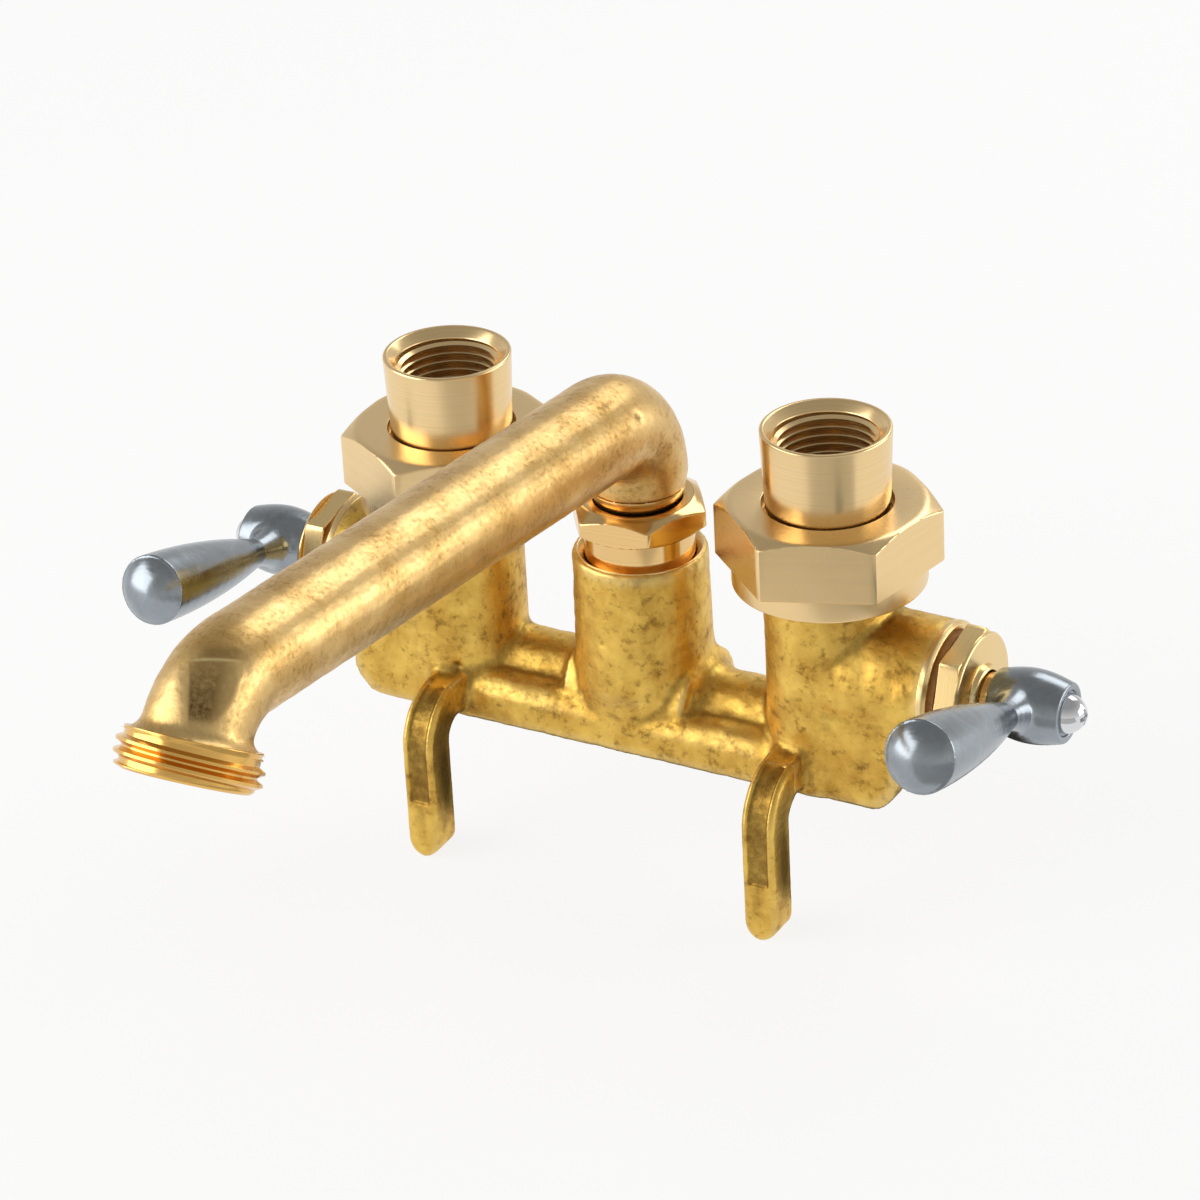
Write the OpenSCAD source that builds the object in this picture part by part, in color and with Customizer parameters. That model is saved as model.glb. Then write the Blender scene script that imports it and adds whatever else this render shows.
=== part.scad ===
// Two-handle laundry tub faucet in rough brass: a cast body that straddles the tub rim, two supply
// unions, a swing spout with a hose thread, and two compression valves with lever handles.
// Origin: centre of the flat underside that sits on the tub rim. +Z up, the spout points to -Y.

/* [Body casting] */
// Distance between the two supply inlets, centre to centre
inlet_spacing = 85.7; // [82:0.1:110]
// Diameter of each upright valve barrel
barrel_d = 26.6; // [25:0.1:29]
// Diameter of the threaded collar that each union nut grips
collar_d = 33.4; // [31:0.2:37]
// Height of the valve stems above the rim seat
stem_height = 25; // [24:0.5:32]
// Diameter of each side port
port_d = 27; // [26:0.5:30]
// Distance from an inlet axis to the end face of its side port
port_reach = 26.5; // [25:0.5:34]
// Clear height between a side port and the union nut above it
port_clear = 5.5; // [2:0.5:12]
// Width of the flat-fronted foot below each valve
foot_width = 25.2; // [20:0.2:26]
// Distance from an inlet axis to the outer end of its foot
foot_reach = 20; // [16:0.5:24]
// Radius of the foot's lower outer corner
foot_corner = 8.5; // [3:0.5:11]
// Radius along the lower edges of the foot and barrel
foot_edge = 2.5; // [0.5:0.5:4]
// Depth of the bar's front ledge, measured from the inlet axes
ledge_depth = 13.2; // [10:0.2:16]
// Height of the bar's front ledge
ledge_height = 10.8; // [8:0.2:14]
// Radius along the top front edge of the ledge
ledge_edge = 4.8; // [1:0.2:6]
// Outside diameter of the waterway that runs along the bar
waterway_d = 16; // [15:0.5:22]
// Distance of the waterway behind the inlet axes
waterway_setback = 1; // [0:0.5:5]
// Bore of the waterway along the bar
passage_d = 10; // [7:0.5:12]
// Diameter of the spout post at its rim
post_d = 27.6; // [26.6:0.2:34]
// Height of the post's rim above the rim seat
post_height = 42.2; // [40:0.2:54]
// Radius of the cast fillet where the waterway runs into the post
post_fillet = 4; // [1:0.5:6]
// Width of the bevel inside the post's rim
post_bevel = 1.3; // [0.4:0.1:1.8]

/* [Rim legs] */
// Distance of each leg inboard of its inlet axis
leg_inset = 3.6; // [0:0.1:8]
// Width of a leg across the faucet
leg_width = 7.2; // [5:0.2:9]
// Thickness of a leg from front to back
leg_thickness = 8.2; // [5:0.2:9]
// Distance from the inlet axes to the middle of a leg
leg_reach = 24; // [20:0.2:34]
// Length of the legs below the rim seat
leg_drop = 25.6; // [20:0.2:45]
// Height of a leg's arm above the rim seat
leg_clear = 2.6; // [1:0.2:6]
// Radius of the bend where the arm turns down, at the middle of the bar
leg_bend = 8; // [6:0.5:9]
// Chamfer along the four edges of a leg
leg_chamfer = 0.8; // [0.4:0.1:1.6]
// Radius of the corners at the tip of a leg
leg_tip = 2.6; // [1:0.1:3]
// Width of the shallow recess along the top and front of a leg
leg_recess_width = 4.4; // [2:0.2:5]
// Depth of the recess along a leg
leg_recess = 0.7; // [0.2:0.1:1.2]
// Length of the plain pad left at the tip of a leg
leg_pad = 12.6; // [6:0.2:16]

/* [Supply unions] */
// Size of a union nut across its flats
union_nut_af = 39.6; // [39:0.2:46]
// Height of the hexagon on a union nut
union_nut_height = 12.6; // [10:0.2:16]
// Diameter of the round skirt below the hexagon
union_skirt_d = 39; // [38:0.2:42]
// Height of the round skirt
union_skirt_height = 4.6; // [2:0.2:8]
// Thickness of the nut's top lip
union_lip = 3.2; // [2:0.2:5]
// Turn of the left hexagon about its axis
left_union_turn = 30; // [0:1:60]
// Turn of the right hexagon about its axis
right_union_turn = 20; // [0:1:60]
// Thickness of the union washer
union_washer = 1.6; // [1:0.1:3]
// Thickness of the flange on a tailpiece
tail_flange = 3.4; // [2:0.2:5]
// Diameter of a tailpiece at its mouth
tail_mouth_d = 26.2; // [25:0.2:28]
// Diameter of a tailpiece where it leaves the nut
tail_neck_d = 24.6; // [24:0.2:27]
// Height of a tailpiece from its flange face to its mouth
tail_height = 22.6; // [20:0.2:32]
// Bore of the female pipe thread, at the crests
pipe_bore_d = 19.2; // [18:0.1:20]
// Depth of the female pipe thread
pipe_depth = 15; // [12:0.5:17]
// Width of the bevel round the mouth
mouth_bevel = 2.6; // [1:0.1:2.8]
// Bore below the pipe thread
supply_bore_d = 15; // [12:0.5:17]

/* [Spout] */
// Outside diameter of the spout tube at the elbow
spout_d = 20.8; // [20:0.2:24]
// Outside diameter of the spout tube at the drop bend
drop_d = 19.8; // [18:0.2:23]
// Bore of the spout
spout_bore_d = 12; // [9:0.5:12.5]
// Length of the spout, from the post axis to the middle of its mouth
spout_length = 162.1; // [140:0.1:230]
// Upward slope of the spout arm
spout_rise = 5.6; // [0:0.2:12]
// Height of the arm's axis above the spout nut, at the post axis
spout_lift = 19.1; // [18:0.1:36]
// Bend radius of the elbow above the post
elbow_radius = 15; // [13:0.5:16]
// Bend radius of the drop at the outlet
drop_radius = 16.1; // [13:0.1:30]
// Lean of the outlet from straight down
outlet_lean = 32; // [0:1:45]
// Outside diameter of the male hose thread
hose_thread_d = 26.9; // [26.5:0.1:28]
// Length of the male hose thread
hose_thread_length = 7; // [6:0.2:14]
// Chamfer at the start of the hose thread
hose_lead = 0.8; // [0.3:0.1:1.5]
// Diameter of the washer seat inside the outlet
hose_seat_d = 19; // [16:0.5:21]
// Depth of the washer seat inside the outlet
hose_seat_depth = 3; // [1:0.5:5]
// Width of the flat cast panel on the drop bend
panel_width = 7.4; // [4:0.2:9]
// Length of the flat panel along the bend
panel_length = 11; // [6:0.5:14]
// Depth of the flat panel
panel_depth = 0.7; // [0.3:0.1:1.2]
// Place of the panel along the bend, as an angle from the bend's start
panel_angle = 40; // [20:1:50]
// Turn of the panel round the tube, from the outer side of the bend
panel_turn = 32; // [0:1:60]
// Diameter of the spout where it turns in the post
journal_d = 17.8; // [17:0.1:18.6]
// Diameter of the cast neck just above the nut
neck_d = 19; // [18:0.1:20]

/* [Spout nut] */
// Size of the spout nut across its flats
spout_nut_af = 25.6; // [25:0.2:30]
// Height of the hexagon on the spout nut
spout_nut_height = 6.6; // [5:0.2:7]
// Diameter of the round face left by the turned corners of the hexagon
spout_nut_face_d = 23; // [21:0.2:24.6]
// Height of the round collar between the post and the hexagon
nut_collar_height = 4.8; // [3:0.2:6]
// Diameter of the nut's threaded shank and collar
nut_shank_d = 22.6; // [21.8:0.1:23.4]
// Length of the shank inside the post
nut_shank_length = 9; // [6:0.5:11]
// Turn of the hexagon about its axis
spout_nut_turn = 6; // [0:1:60]
// Width of the bevel round the top of the nut's bore
nut_bevel = 1.6; // [0.6:0.1:2]
// Thickness of the retaining ring on the spout
ring_thickness = 2; // [1.2:0.1:3]
// Diameter of the groove for the retaining ring
ring_groove_d = 15.8; // [15:0.1:16.4]
// Thickness of the friction washer below the retaining ring
friction_washer = 1.6; // [1:0.1:2.5]
// Depth of the spout's journal below the friction washer
journal_depth = 11; // [8:0.5:12]
// Thickness of the O-rings
o_ring_section = 1.6; // [1.2:0.1:1.8]

/* [Valves] */
// Diameter of the bonnet's threaded shank
bonnet_shank_d = 20.8; // [20:0.1:21.4]
// Size of the bonnet across its flats
bonnet_af = 23.2; // [22:0.1:25]
// Thickness of the bonnet's hexagon and its round face
bonnet_height = 5.2; // [3:0.2:8]
// Diameter of the bonnet's round outer face
bonnet_face_d = 25.4; // [23:0.2:26]
// Diameter of the boss on the bonnet's outer face
boss_d = 12.8; // [12.4:0.2:16]
// Length of the boss on the bonnet's outer face
boss_length = 1.4; // [1:0.2:4]
// Thickness of the gasket behind the bonnet
gasket_thickness = 1.2; // [0.8:0.1:2]
// Width of the gasket round the bonnet's shank
gasket_width = 1.4; // [0.8:0.1:2]
// Turn of the bonnet's hexagon about the stem
bonnet_turn = 40; // [0:1:60]
// Diameter of the stem
stem_d = 9.8; // [9:0.1:10.4]
// Diameter of the stem's lifting thread
stem_thread_d = 12.8; // [12:0.1:13.6]
// Length of the stem's lifting thread
stem_thread_length = 9; // [7:0.5:10]
// Free lift of the stem from shut to open
stem_lift = 2.2; // [1:0.1:2.6]
// Size of the square that drives the handle
broach = 6; // [5:0.1:6.4]
// Length of the square that drives the handle
broach_length = 7; // [5:0.5:8]
// Outside diameter of the screwed-in seat ring
seat_d = 13.4; // [12.6:0.1:14]
// Thickness of the seat ring
seat_thickness = 4; // [3:0.2:5]
// Bore of the seat ring
seat_bore_d = 8; // [7:0.1:8.6]
// Diameter of the seat washer
seat_washer_d = 11.8; // [11:0.1:12.4]
// Thickness of the seat washer
seat_washer_thickness = 3; // [2:0.1:3.5]
// Diameter of the washer screw's head
washer_screw_d = 6; // [5:0.1:6.6]
// Diameter of the washer screw's shank
washer_screw_shank_d = 3.6; // [3:0.1:4]

/* [Handles] */
// Distance from the bonnet's hexagon to the handle hub
handle_gap = 3.2; // [2:0.2:8]
// Largest diameter of the handle hub
hub_d = 15; // [14.4:0.2:18]
// Diameter of the hub's two ends
hub_end_d = 12.2; // [11.8:0.2:14]
// Length of the hub along the stem
hub_length = 15.4; // [14:0.2:20]
// Distance from the hub's inner end to the middle of the lever
lever_offset = 7; // [5:0.2:9]
// Distance from the stem axis to the rim of the lever's end
lever_length = 51; // [36:0.2:60]
// Distance from the stem axis to the thinnest place of the lever
lever_neck = 13; // [11:0.5:18]
// Diameter of the lever at its neck
lever_neck_d = 6; // [5:0.2:8]
// Diameter of the lever at its end
lever_end_d = 14.6; // [12:0.2:18]
// Width of the narrow step round the lever's domed end
lever_step = 0.4; // [0.2:0.1:1]
// Height of the lever's domed end
lever_dome = 3.2; // [1:0.2:6]
// Angle of the shut left lever above level
left_lever_angle = 14; // [0:1:30]
// Angle of the shut right lever above level
right_lever_angle = 16; // [0:1:30]
// Diameter of the handle screw's head
handle_screw_d = 8.8; // [7.6:0.2:9.4]
// Height of the handle screw's head
handle_screw_height = 4.4; // [1.8:0.1:5]
// Diameter of the handle screw's shank
handle_screw_shank_d = 4; // [3:0.1:4.4]

/* [Hidden] */
$fn = 64;
left = -1;
right = 1;

rough_brass = "#c9a24a";
turned_brass = "#d9b26a";
polished_brass = "#c98f3c";
zinc = "#9aa3ab";
chrome = "#d8dde0";
fibre = "#8a4b2a";
rubber = "#2b2b2b";
nylon = "#e8e2d0";

// Clearances: screwed pieces are plain cylinders a hair apart, turning pieces have a wider gap
thread_gap = 0.1;
turning_gap = 0.3;
face_gap = 0.2;
seal_gap = 0.2;

// Cuts run this far past a face, and straight tubes lap this far into slightly slimmer bends
past = 1;
lap = 0.1;
seam = 0.04;

// Heights of the union stack, built up from the side ports
skirt_bottom = stem_height + port_d / 2 + port_clear;
hex_bottom = skirt_bottom + union_skirt_height;
nut_top = hex_bottom + union_nut_height;
flange_top = nut_top - union_lip;
washer_top = flange_top - tail_flange;
union_height = washer_top - union_washer;
tail_top = washer_top + tail_height;
collar_thread = 1.6;
collar_bottom = skirt_bottom + collar_thread;
flange_clear = 0.3;
tail_clear = 1;
nut_hole_d = tail_mouth_d + 2 * tail_clear;

// Heights inside the post, built down from its rim
shank_bottom = post_height - nut_shank_length;
ring_top = shank_bottom - face_gap;
ring_bottom = ring_top - ring_thickness;
friction_top = ring_bottom - face_gap;
post_shoulder = friction_top - friction_washer;
journal_bottom = post_shoulder - journal_depth;
post_bore_d = nut_shank_d + 2 * thread_gap;
journal_bore_d = journal_d + 2 * turning_gap;
ring_clear = 0.5;
ring_d = post_bore_d - 2 * ring_clear;
spout_nut_bottom = post_height + nut_collar_height;
spout_nut_top = spout_nut_bottom + spout_nut_height;
o_ring_middle = post_shoulder - journal_depth / 2;

// The waterway lies just clear of the rim seat
waterway_floor = 0.3;
waterway_height = waterway_d / 2 + waterway_floor;

// Distances along a stem, outboard of the inlet axis
hex_in = port_reach + gasket_thickness;
hex_out = hex_in + bonnet_height;
boss_out = hex_out + boss_length;
seat_out = -3;
seat_in = seat_out - seat_thickness;
seat_lip = 0.9;
seat_rim = 1;
drop_width = 3.7;
washer_in = seat_out + seat_lip + face_gap / 4;
washer_out = washer_in + seat_washer_thickness;
cup_in = washer_out + face_gap;
cup_rim = 0.9;
cup_depth = 1.6;
cup_wall = 2.4;
stem_neck = 4.6;
thread_in = cup_in + cup_wall + stem_neck;
thread_out = thread_in + stem_thread_length;
bonnet_in = thread_in - past;
bonnet_neck = thread_out + stem_lift + 0.8;
stem_ring = (bonnet_neck + hex_out - stem_lift) / 2;
hub_in = hex_out + handle_gap;
hub_out = hub_in + hub_length;
socket = 2;
broach_in = hub_in + socket;
broach_out = broach_in + broach_length;
screw_recess = 0.8;
screw_seat = hub_out - screw_recess;
port_bore_d = bonnet_shank_d + 2 * thread_gap;
chamber_step = 1.3;
chamber_d = port_bore_d - 2 * chamber_step;
lever_along = hub_in + lever_offset;

// Spout path, worked out from the reach
spout_height = spout_nut_top + spout_lift;
elbow_turn = 90 - spout_rise;
drop_turn = 90 + spout_rise - outlet_lean;
elbow_start = spout_height - elbow_radius * tan(elbow_turn / 2);
elbow_forward = elbow_radius * (1 - cos(elbow_turn));
drop_forward = drop_radius * (sin(spout_rise) + cos(outlet_lean));
outlet_forward = hose_thread_length * sin(outlet_lean);
arm_length = (spout_length - outlet_forward - drop_forward - elbow_forward) / cos(spout_rise);

// Points of a round arc, from angle a to angle b
function arc(x, y, r, a, b, steps = 6) =
    [for (i = [0 : steps]) let (t = a + (b - a) * i / steps) [x + r * cos(t), y + r * sin(t)]];

// A turned piece from points of radius and height
module turned(points) {
    rotate_extrude($fn = 96) polygon(points);
}

// A round hole or bar from one height to another
module round_bar(d, from, to) {
    translate([0, 0, from]) cylinder(d = d, h = to - from);
}

// A flat ring
module ring(outer, inner, from, to) {
    difference() {
        round_bar(outer, from, to);
        round_bar(inner, from - past, to + past);
    }
}

// An O-ring that stands in a groove and stays just clear of a bore
module o_ring(bore_r, middle) {
    wire = o_ring_section - seam;
    translate([0, 0, middle]) rotate_extrude()
        translate([bore_r - seal_gap - o_ring_section / 2, 0]) circle(d = wire, $fn = 24);
}

// Points of the groove that such an O-ring stands in, on a bar of radius r
function groove(r, bore_r, middle) =
    let (floor_r = bore_r - seal_gap - o_ring_section, half = o_ring_section / 2 + lap)
    [[r, middle - half], [floor_r, middle - half], [floor_r, middle + half], [r, middle + half]];

// A hexagon with its corners turned off at 30 degrees at the top, or at both ends
module turned_hex(af, face_d, from, to, both) {
    across = af / cos(30);
    slope = (across - face_d) / 2 * tan(30);
    low = both ? slope : 0;
    intersection() {
        translate([0, 0, from]) cylinder(d = across, h = to - from, $fn = 6);
        turned([[0, from], [across / 2 - low / tan(30), from], [across / 2, from + low],
            [across / 2, to - slope], [face_d / 2, to], [0, to]]);
    }
}

// Puts children on an inlet axis, with their X pointing outboard on either side
module on_inlet(side) {
    mirror([side == left ? 1 : 0, 0, 0]) translate([inlet_spacing / 2, 0, 0]) children();
}

// Puts children on a stem, with their own Z pointing outboard
module on_stem(side) {
    on_inlet(side) translate([0, 0, stem_height]) rotate([0, 90, 0]) children();
}

// Turns an outline of depth and height into a bar across the faucet
module across_bar(from, to) {
    translate([from, 0, 0]) rotate([90, 0, 90]) linear_extrude(height = to - from) children();
}

// Turns an outline of width and height into a bar from front to back
module front_to_back(depth) {
    rotate([90, 0, 0]) linear_extrude(height = depth, center = true) children();
}

// Cast body

module barrel_and_port(side) {
    port_edge = 0.8;
    flare = 1.2;
    on_inlet(side) turned(concat([[0, 0]], arc(barrel_d / 2 - foot_edge, foot_edge, foot_edge, -90, 0),
        [[barrel_d / 2, collar_bottom], [collar_d / 2, collar_bottom + flare],
        [collar_d / 2, union_height], [0, union_height]]));
    on_stem(side) turned([[0, 0], [port_d / 2, 0], [port_d / 2, port_reach - port_edge],
        [port_d / 2 - port_edge, port_reach], [0, port_reach]]);
}

// Flat-fronted foot under a valve, rounded where it sweeps up to the port
module foot(side) {
    inner = 4;
    half = foot_width / 2;
    on_inlet(side) intersection() {
        front_to_back(foot_width + past) polygon(concat([[-inner, 0]],
            arc(foot_reach - foot_corner, foot_corner, foot_corner, -90, 0),
            [[foot_reach, stem_height], [-inner, stem_height]]));
        across_bar(-inner - past, foot_reach + past) polygon(concat(
            arc(foot_edge - half, foot_edge, foot_edge, 180, 270),
            arc(half - foot_edge, foot_edge, foot_edge, -90, 0),
            [[half, stem_height], [-half, stem_height]]));
    }
}

// Bar between the valves: a ledge in front and the round waterway behind it
module bar() {
    half = inlet_spacing / 2;
    across_bar(-half, half) {
        polygon(concat([[waterway_setback, 0]],
            arc(foot_edge - ledge_depth, foot_edge, foot_edge, 270, 180),
            arc(ledge_edge - ledge_depth, ledge_height - ledge_edge, ledge_edge, 180, 90),
            [[waterway_setback, ledge_height]]));
        translate([waterway_setback, waterway_height]) circle(d = waterway_d);
        translate([waterway_setback - past, 0]) square([waterway_d / 2, waterway_height]);
    }
}

// Spout post: drawn in a little so that it runs into the front of the ledge
module post() {
    rim = 0.6;
    draft = 0.4;
    root = post_d / 2 + draft;
    heel = min(root, ledge_depth - draft);
    turned(concat([[0, 0]], arc(heel - foot_edge, foot_edge, foot_edge, -90, 0),
        [[heel, ledge_height / 2], [root, ledge_height + ledge_edge / 2],
        [post_d / 2, post_height - rim], [post_d / 2 - rim, post_height], [0, post_height]]));
}

// Cast fillet where the waterway runs into the post, on one side
module knuckle(side) {
    r = waterway_d / 2;
    f = post_fillet;
    reach = post_d / 2;
    mirror([side == left ? 1 : 0, 0, 0]) intersection() {
        translate([0, waterway_setback, waterway_height]) rotate([0, 90, 0])
            turned(concat([[0, 0], [r + f, 0]], arc(r + f, reach + f, f, 270, 180), [[0, reach + f]]));
        translate([0, -post_d, 0]) cube([2 * post_d, 2 * post_d, post_height]);
    }
}

// Outline of a leg, seen along it: wide chamfers give the arm its ridges
module leg_outline() {
    x = leg_width / 2;
    y = leg_thickness / 2;
    c = leg_chamfer;
    polygon([[x - c, -y], [x, c - y], [x, y - c], [x - c, y], [c - x, y], [-x, y - c], [-x, c - y],
        [c - x, -y]]);
}

// Outline of a hanging leg from the front, with its rounded tip
module tip_outline(top) {
    corner = leg_width / 2 - leg_tip;
    polygon(concat(arc(-corner, leg_tip - leg_drop, leg_tip, 180, 270),
        arc(corner, leg_tip - leg_drop, leg_tip, -90, 0), [[leg_width / 2, top], [-leg_width / 2, top]]));
}

// Leg: an arm out of the bar, a bend and a drop, with one recess along its top and front
module leg(side) {
    half = leg_thickness / 2;
    floor_r = leg_bend + half - leg_recess;
    arm_height = half + leg_clear;
    bend_y = leg_bend - leg_reach;
    bend_z = arm_height - leg_bend;
    on_inlet(side) translate([-leg_inset, bend_y, bend_z]) difference() {
        union() {
            translate([0, -lap, leg_bend]) rotate([-90, 0, 0])
                linear_extrude(height = lap - bend_y) leg_outline();
            rotate([0, 90, 0]) rotate([0, 0, 180])
                rotate_extrude(angle = 90) translate([leg_bend, 0]) rotate(90) leg_outline();
            intersection() {
                translate([0, -leg_bend, -leg_drop - bend_z])
                    linear_extrude(height = leg_drop + bend_z + lap) leg_outline();
                translate([0, -leg_bend, -bend_z]) front_to_back(2 * leg_thickness) tip_outline(bend_z + past);
            }
        }
        translate([-leg_recess_width / 2, -lap, floor_r])
            cube([leg_recess_width, lap - bend_y, leg_recess + past]);
        rotate([0, 90, 0]) rotate([0, 0, 180]) rotate_extrude(angle = 90)
            translate([floor_r - seam, -leg_recess_width / 2]) square([leg_recess + past, leg_recess_width]);
        translate([-leg_recess_width / 2, -floor_r - leg_recess - past, leg_pad - leg_drop - bend_z])
            cube([leg_recess_width, leg_recess + past, leg_drop + bend_z - leg_pad + lap]);
    }
}

// Cored passages of one valve: inlet, chamber, seat hole and the drop to the bar's waterway
module valve_passages(side) {
    on_inlet(side) {
        round_bar(supply_bore_d, stem_height, union_height + past);
        translate([seat_in - drop_width, waterway_setback - seat_bore_d / 2, waterway_height])
            cube([drop_width, seat_bore_d, stem_height - waterway_height]);
    }
    on_stem(side) {
        round_bar(port_bore_d, bonnet_in - past, port_reach + past);
        round_bar(chamber_d, seat_out, bonnet_in);
        round_bar(seat_d + 2 * thread_gap, seat_in, seat_out + past);
        round_bar(seat_bore_d + 2 * seat_rim, seat_in - drop_width, seat_in + past);
    }
}

module post_passages() {
    bevel_bottom = post_height - post_bevel;
    round_bar(post_bore_d, post_shoulder, post_height + past);
    round_bar(journal_bore_d, journal_bottom - face_gap, post_height);
    round_bar(passage_d, waterway_height, post_height);
    turned([[0, bevel_bottom], [post_bore_d / 2, bevel_bottom],
        [post_bore_d / 2 + post_bevel + past, post_height + past], [0, post_height + past]]);
    translate([0, waterway_setback, waterway_height]) rotate([0, 90, 0])
        cylinder(d = passage_d, h = inlet_spacing + 2 * seat_in, center = true);
}

module body_casting() {
    color(rough_brass) difference() {
        union() {
            for (side = [left, right]) {
                barrel_and_port(side);
                foot(side);
                leg(side);
                knuckle(side);
            }
            bar();
            post();
        }
        for (side = [left, right]) valve_passages(side);
        post_passages();
    }
}

// Supply unions

module union_nut(side) {
    turn = side == left ? 180 - left_union_turn : right_union_turn;
    color(turned_brass) on_inlet(side) rotate(turn) difference() {
        union() {
            turned_hex(union_nut_af, union_nut_af, hex_bottom, nut_top, false);
            round_bar(union_skirt_d, skirt_bottom, hex_bottom + past);
        }
        round_bar(collar_d + 2 * thread_gap, skirt_bottom - past, flange_top);
        round_bar(nut_hole_d, skirt_bottom, nut_top + past);
    }
}

module union_washer_ring(side) {
    color(fibre) on_inlet(side) ring(collar_d - 2 * flange_clear, supply_bore_d, union_height, washer_top);
}

module tailpiece(side) {
    flange_r = collar_d / 2 - flange_clear;
    lip = 0.4;
    bevel_bottom = tail_top - mouth_bevel;
    bore_r = pipe_bore_d / 2;
    color(turned_brass) on_inlet(side) difference() {
        turned([[0, washer_top], [flange_r, washer_top], [flange_r, flange_top],
            [tail_neck_d / 2, flange_top], [tail_mouth_d / 2, tail_top - lip],
            [tail_mouth_d / 2 - lip, tail_top], [0, tail_top]]);
        round_bar(supply_bore_d, washer_top - past, tail_top);
        round_bar(pipe_bore_d, bevel_bottom - pipe_depth, tail_top);
        turned([[0, bevel_bottom], [bore_r, bevel_bottom], [bore_r + mouth_bevel, tail_top],
            [bore_r + mouth_bevel, tail_top + past], [0, tail_top + past]]);
    }
}

// Compression valves

module seat(side) {
    color(polished_brass) on_stem(side) difference() {
        union() {
            round_bar(seat_d, seat_in, seat_out);
            round_bar(seat_bore_d + 2 * seat_rim, seat_out - lap, seat_out + seat_lip);
        }
        round_bar(seat_bore_d, seat_in - past, seat_out + seat_lip + past);
    }
}

module bonnet(side) {
    face = 1.4;
    edge = 0.8;
    bore_r = stem_d / 2 + turning_gap;
    color(polished_brass) on_stem(side) difference() {
        union() {
            round_bar(bonnet_shank_d, bonnet_in, hex_in + past);
            rotate(bonnet_turn) turned_hex(bonnet_af, bonnet_face_d, hex_in, hex_out - face, false);
            turned(concat([[0, hex_out - face - lap], [bonnet_face_d / 2, hex_out - face - lap],
                [bonnet_face_d / 2, hex_out - face / 2], [bonnet_face_d / 2 - face / 2, hex_out],
                [boss_d / 2, hex_out]],
                arc(boss_d / 2 - edge, boss_out - edge, edge, 0, 90), [[0, boss_out]]));
        }
        round_bar(stem_thread_d + 2 * turning_gap, bonnet_in - past, bonnet_neck);
        round_bar(2 * bore_r, bonnet_in, boss_out + past);
    }
}

module bonnet_gasket_ring(side) {
    color(fibre) on_stem(side) ring(port_bore_d + 2 * gasket_width, port_bore_d, port_reach, hex_in);
}

module stem(side) {
    cup_r = seat_washer_d / 2 + turning_gap + cup_rim;
    waist_r = stem_d / 2 - 0.6;
    r = stem_d / 2;
    color(polished_brass) on_stem(side) difference() {
        union() {
            turned(concat([[0, cup_in - cup_depth], [cup_r, cup_in - cup_depth], [cup_r, cup_in + cup_wall - 1],
                [waist_r, cup_in + cup_wall], [waist_r, thread_in], [stem_thread_d / 2, thread_in],
                [stem_thread_d / 2, thread_out], [r, thread_out]],
                groove(r, r + turning_gap, stem_ring), [[r, broach_in], [0, broach_in]]));
            translate([-broach / 2, -broach / 2, broach_in - past])
                cube([broach, broach, broach_length + past]);
        }
        round_bar(seat_washer_d + 2 * turning_gap, cup_in - cup_depth - past, cup_in);
        round_bar(washer_screw_shank_d + 2 * turning_gap, cup_in - past, thread_in + face_gap);
        round_bar(handle_screw_shank_d + 2 * thread_gap, broach_in, broach_out + past);
    }
}

module stem_o_ring(side) {
    color(rubber) on_stem(side) o_ring(stem_d / 2 + turning_gap, stem_ring);
}

module seat_washer_disc(side) {
    color(rubber) on_stem(side)
        ring(seat_washer_d, washer_screw_shank_d + 2 * thread_gap, washer_in, washer_out);
}

module washer_screw(side) {
    head = 1.4;
    bevel = 0.8;
    r = washer_screw_d / 2;
    shank_r = washer_screw_shank_d / 2;
    color(polished_brass) on_stem(side) turned([[0, washer_in - head], [r - bevel, washer_in - head],
        [r, washer_in - head / 2], [r, washer_in], [shank_r, washer_in], [shank_r, thread_in],
        [0, thread_in]]);
}

// Lever handles

// Radius of the lever, from its neck to the rim of its end: quick at first, then level
function lever_radius(u) = lever_neck_d / 2 + (lever_end_d - lever_neck_d) / 2 * (1 - (1 - u) * (1 - u));

// Radius of the hub between its two ends: an even swell
function hub_radius(u) = hub_end_d / 2 + (hub_d - hub_end_d) / 2 * sin(180 * u);

module lever() {
    steps = 10;
    run = lever_length - lever_neck;
    throat = 3;
    throat_turn = 35;
    dome_r = lever_end_d / 2 - lever_step;
    ball_r = (dome_r * dome_r + lever_dome * lever_dome) / (2 * lever_dome);
    ball_at = lever_length + lever_dome - ball_r;
    turned(concat([[0, 0], [lever_neck_d / 2, 0]],
        arc(lever_neck_d / 2 + throat, lever_neck - throat, throat, 180 + throat_turn, 180),
        [for (i = [0 : steps]) [lever_radius(i / steps), lever_neck + run * i / steps]],
        arc(0, ball_at, ball_r, asin((lever_length - ball_at) / ball_r), 90, 8)));
}

module handle(side) {
    steps = 14;
    rest = side == left ? left_lever_angle : right_lever_angle;
    drive = broach + 2 * thread_gap;
    color(zinc) on_stem(side) difference() {
        union() {
            turned(concat([[0, hub_in]],
                [for (i = [0 : steps]) [hub_radius(i / steps), hub_in + hub_length * i / steps]],
                [[0, hub_out]]));
            translate([0, 0, lever_along]) rotate(270 - rest) rotate([0, 90, 0]) lever();
        }
        round_bar(stem_d + 2 * thread_gap, hub_in - past, broach_in);
        translate([-drive / 2, -drive / 2, hub_in]) cube([drive, drive, broach_out - hub_in + face_gap]);
        round_bar(handle_screw_shank_d + 2 * thread_gap, hub_in, hub_out + past);
        round_bar(handle_screw_d + 2 * turning_gap, screw_seat, hub_out + past);
    }
}

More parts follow.
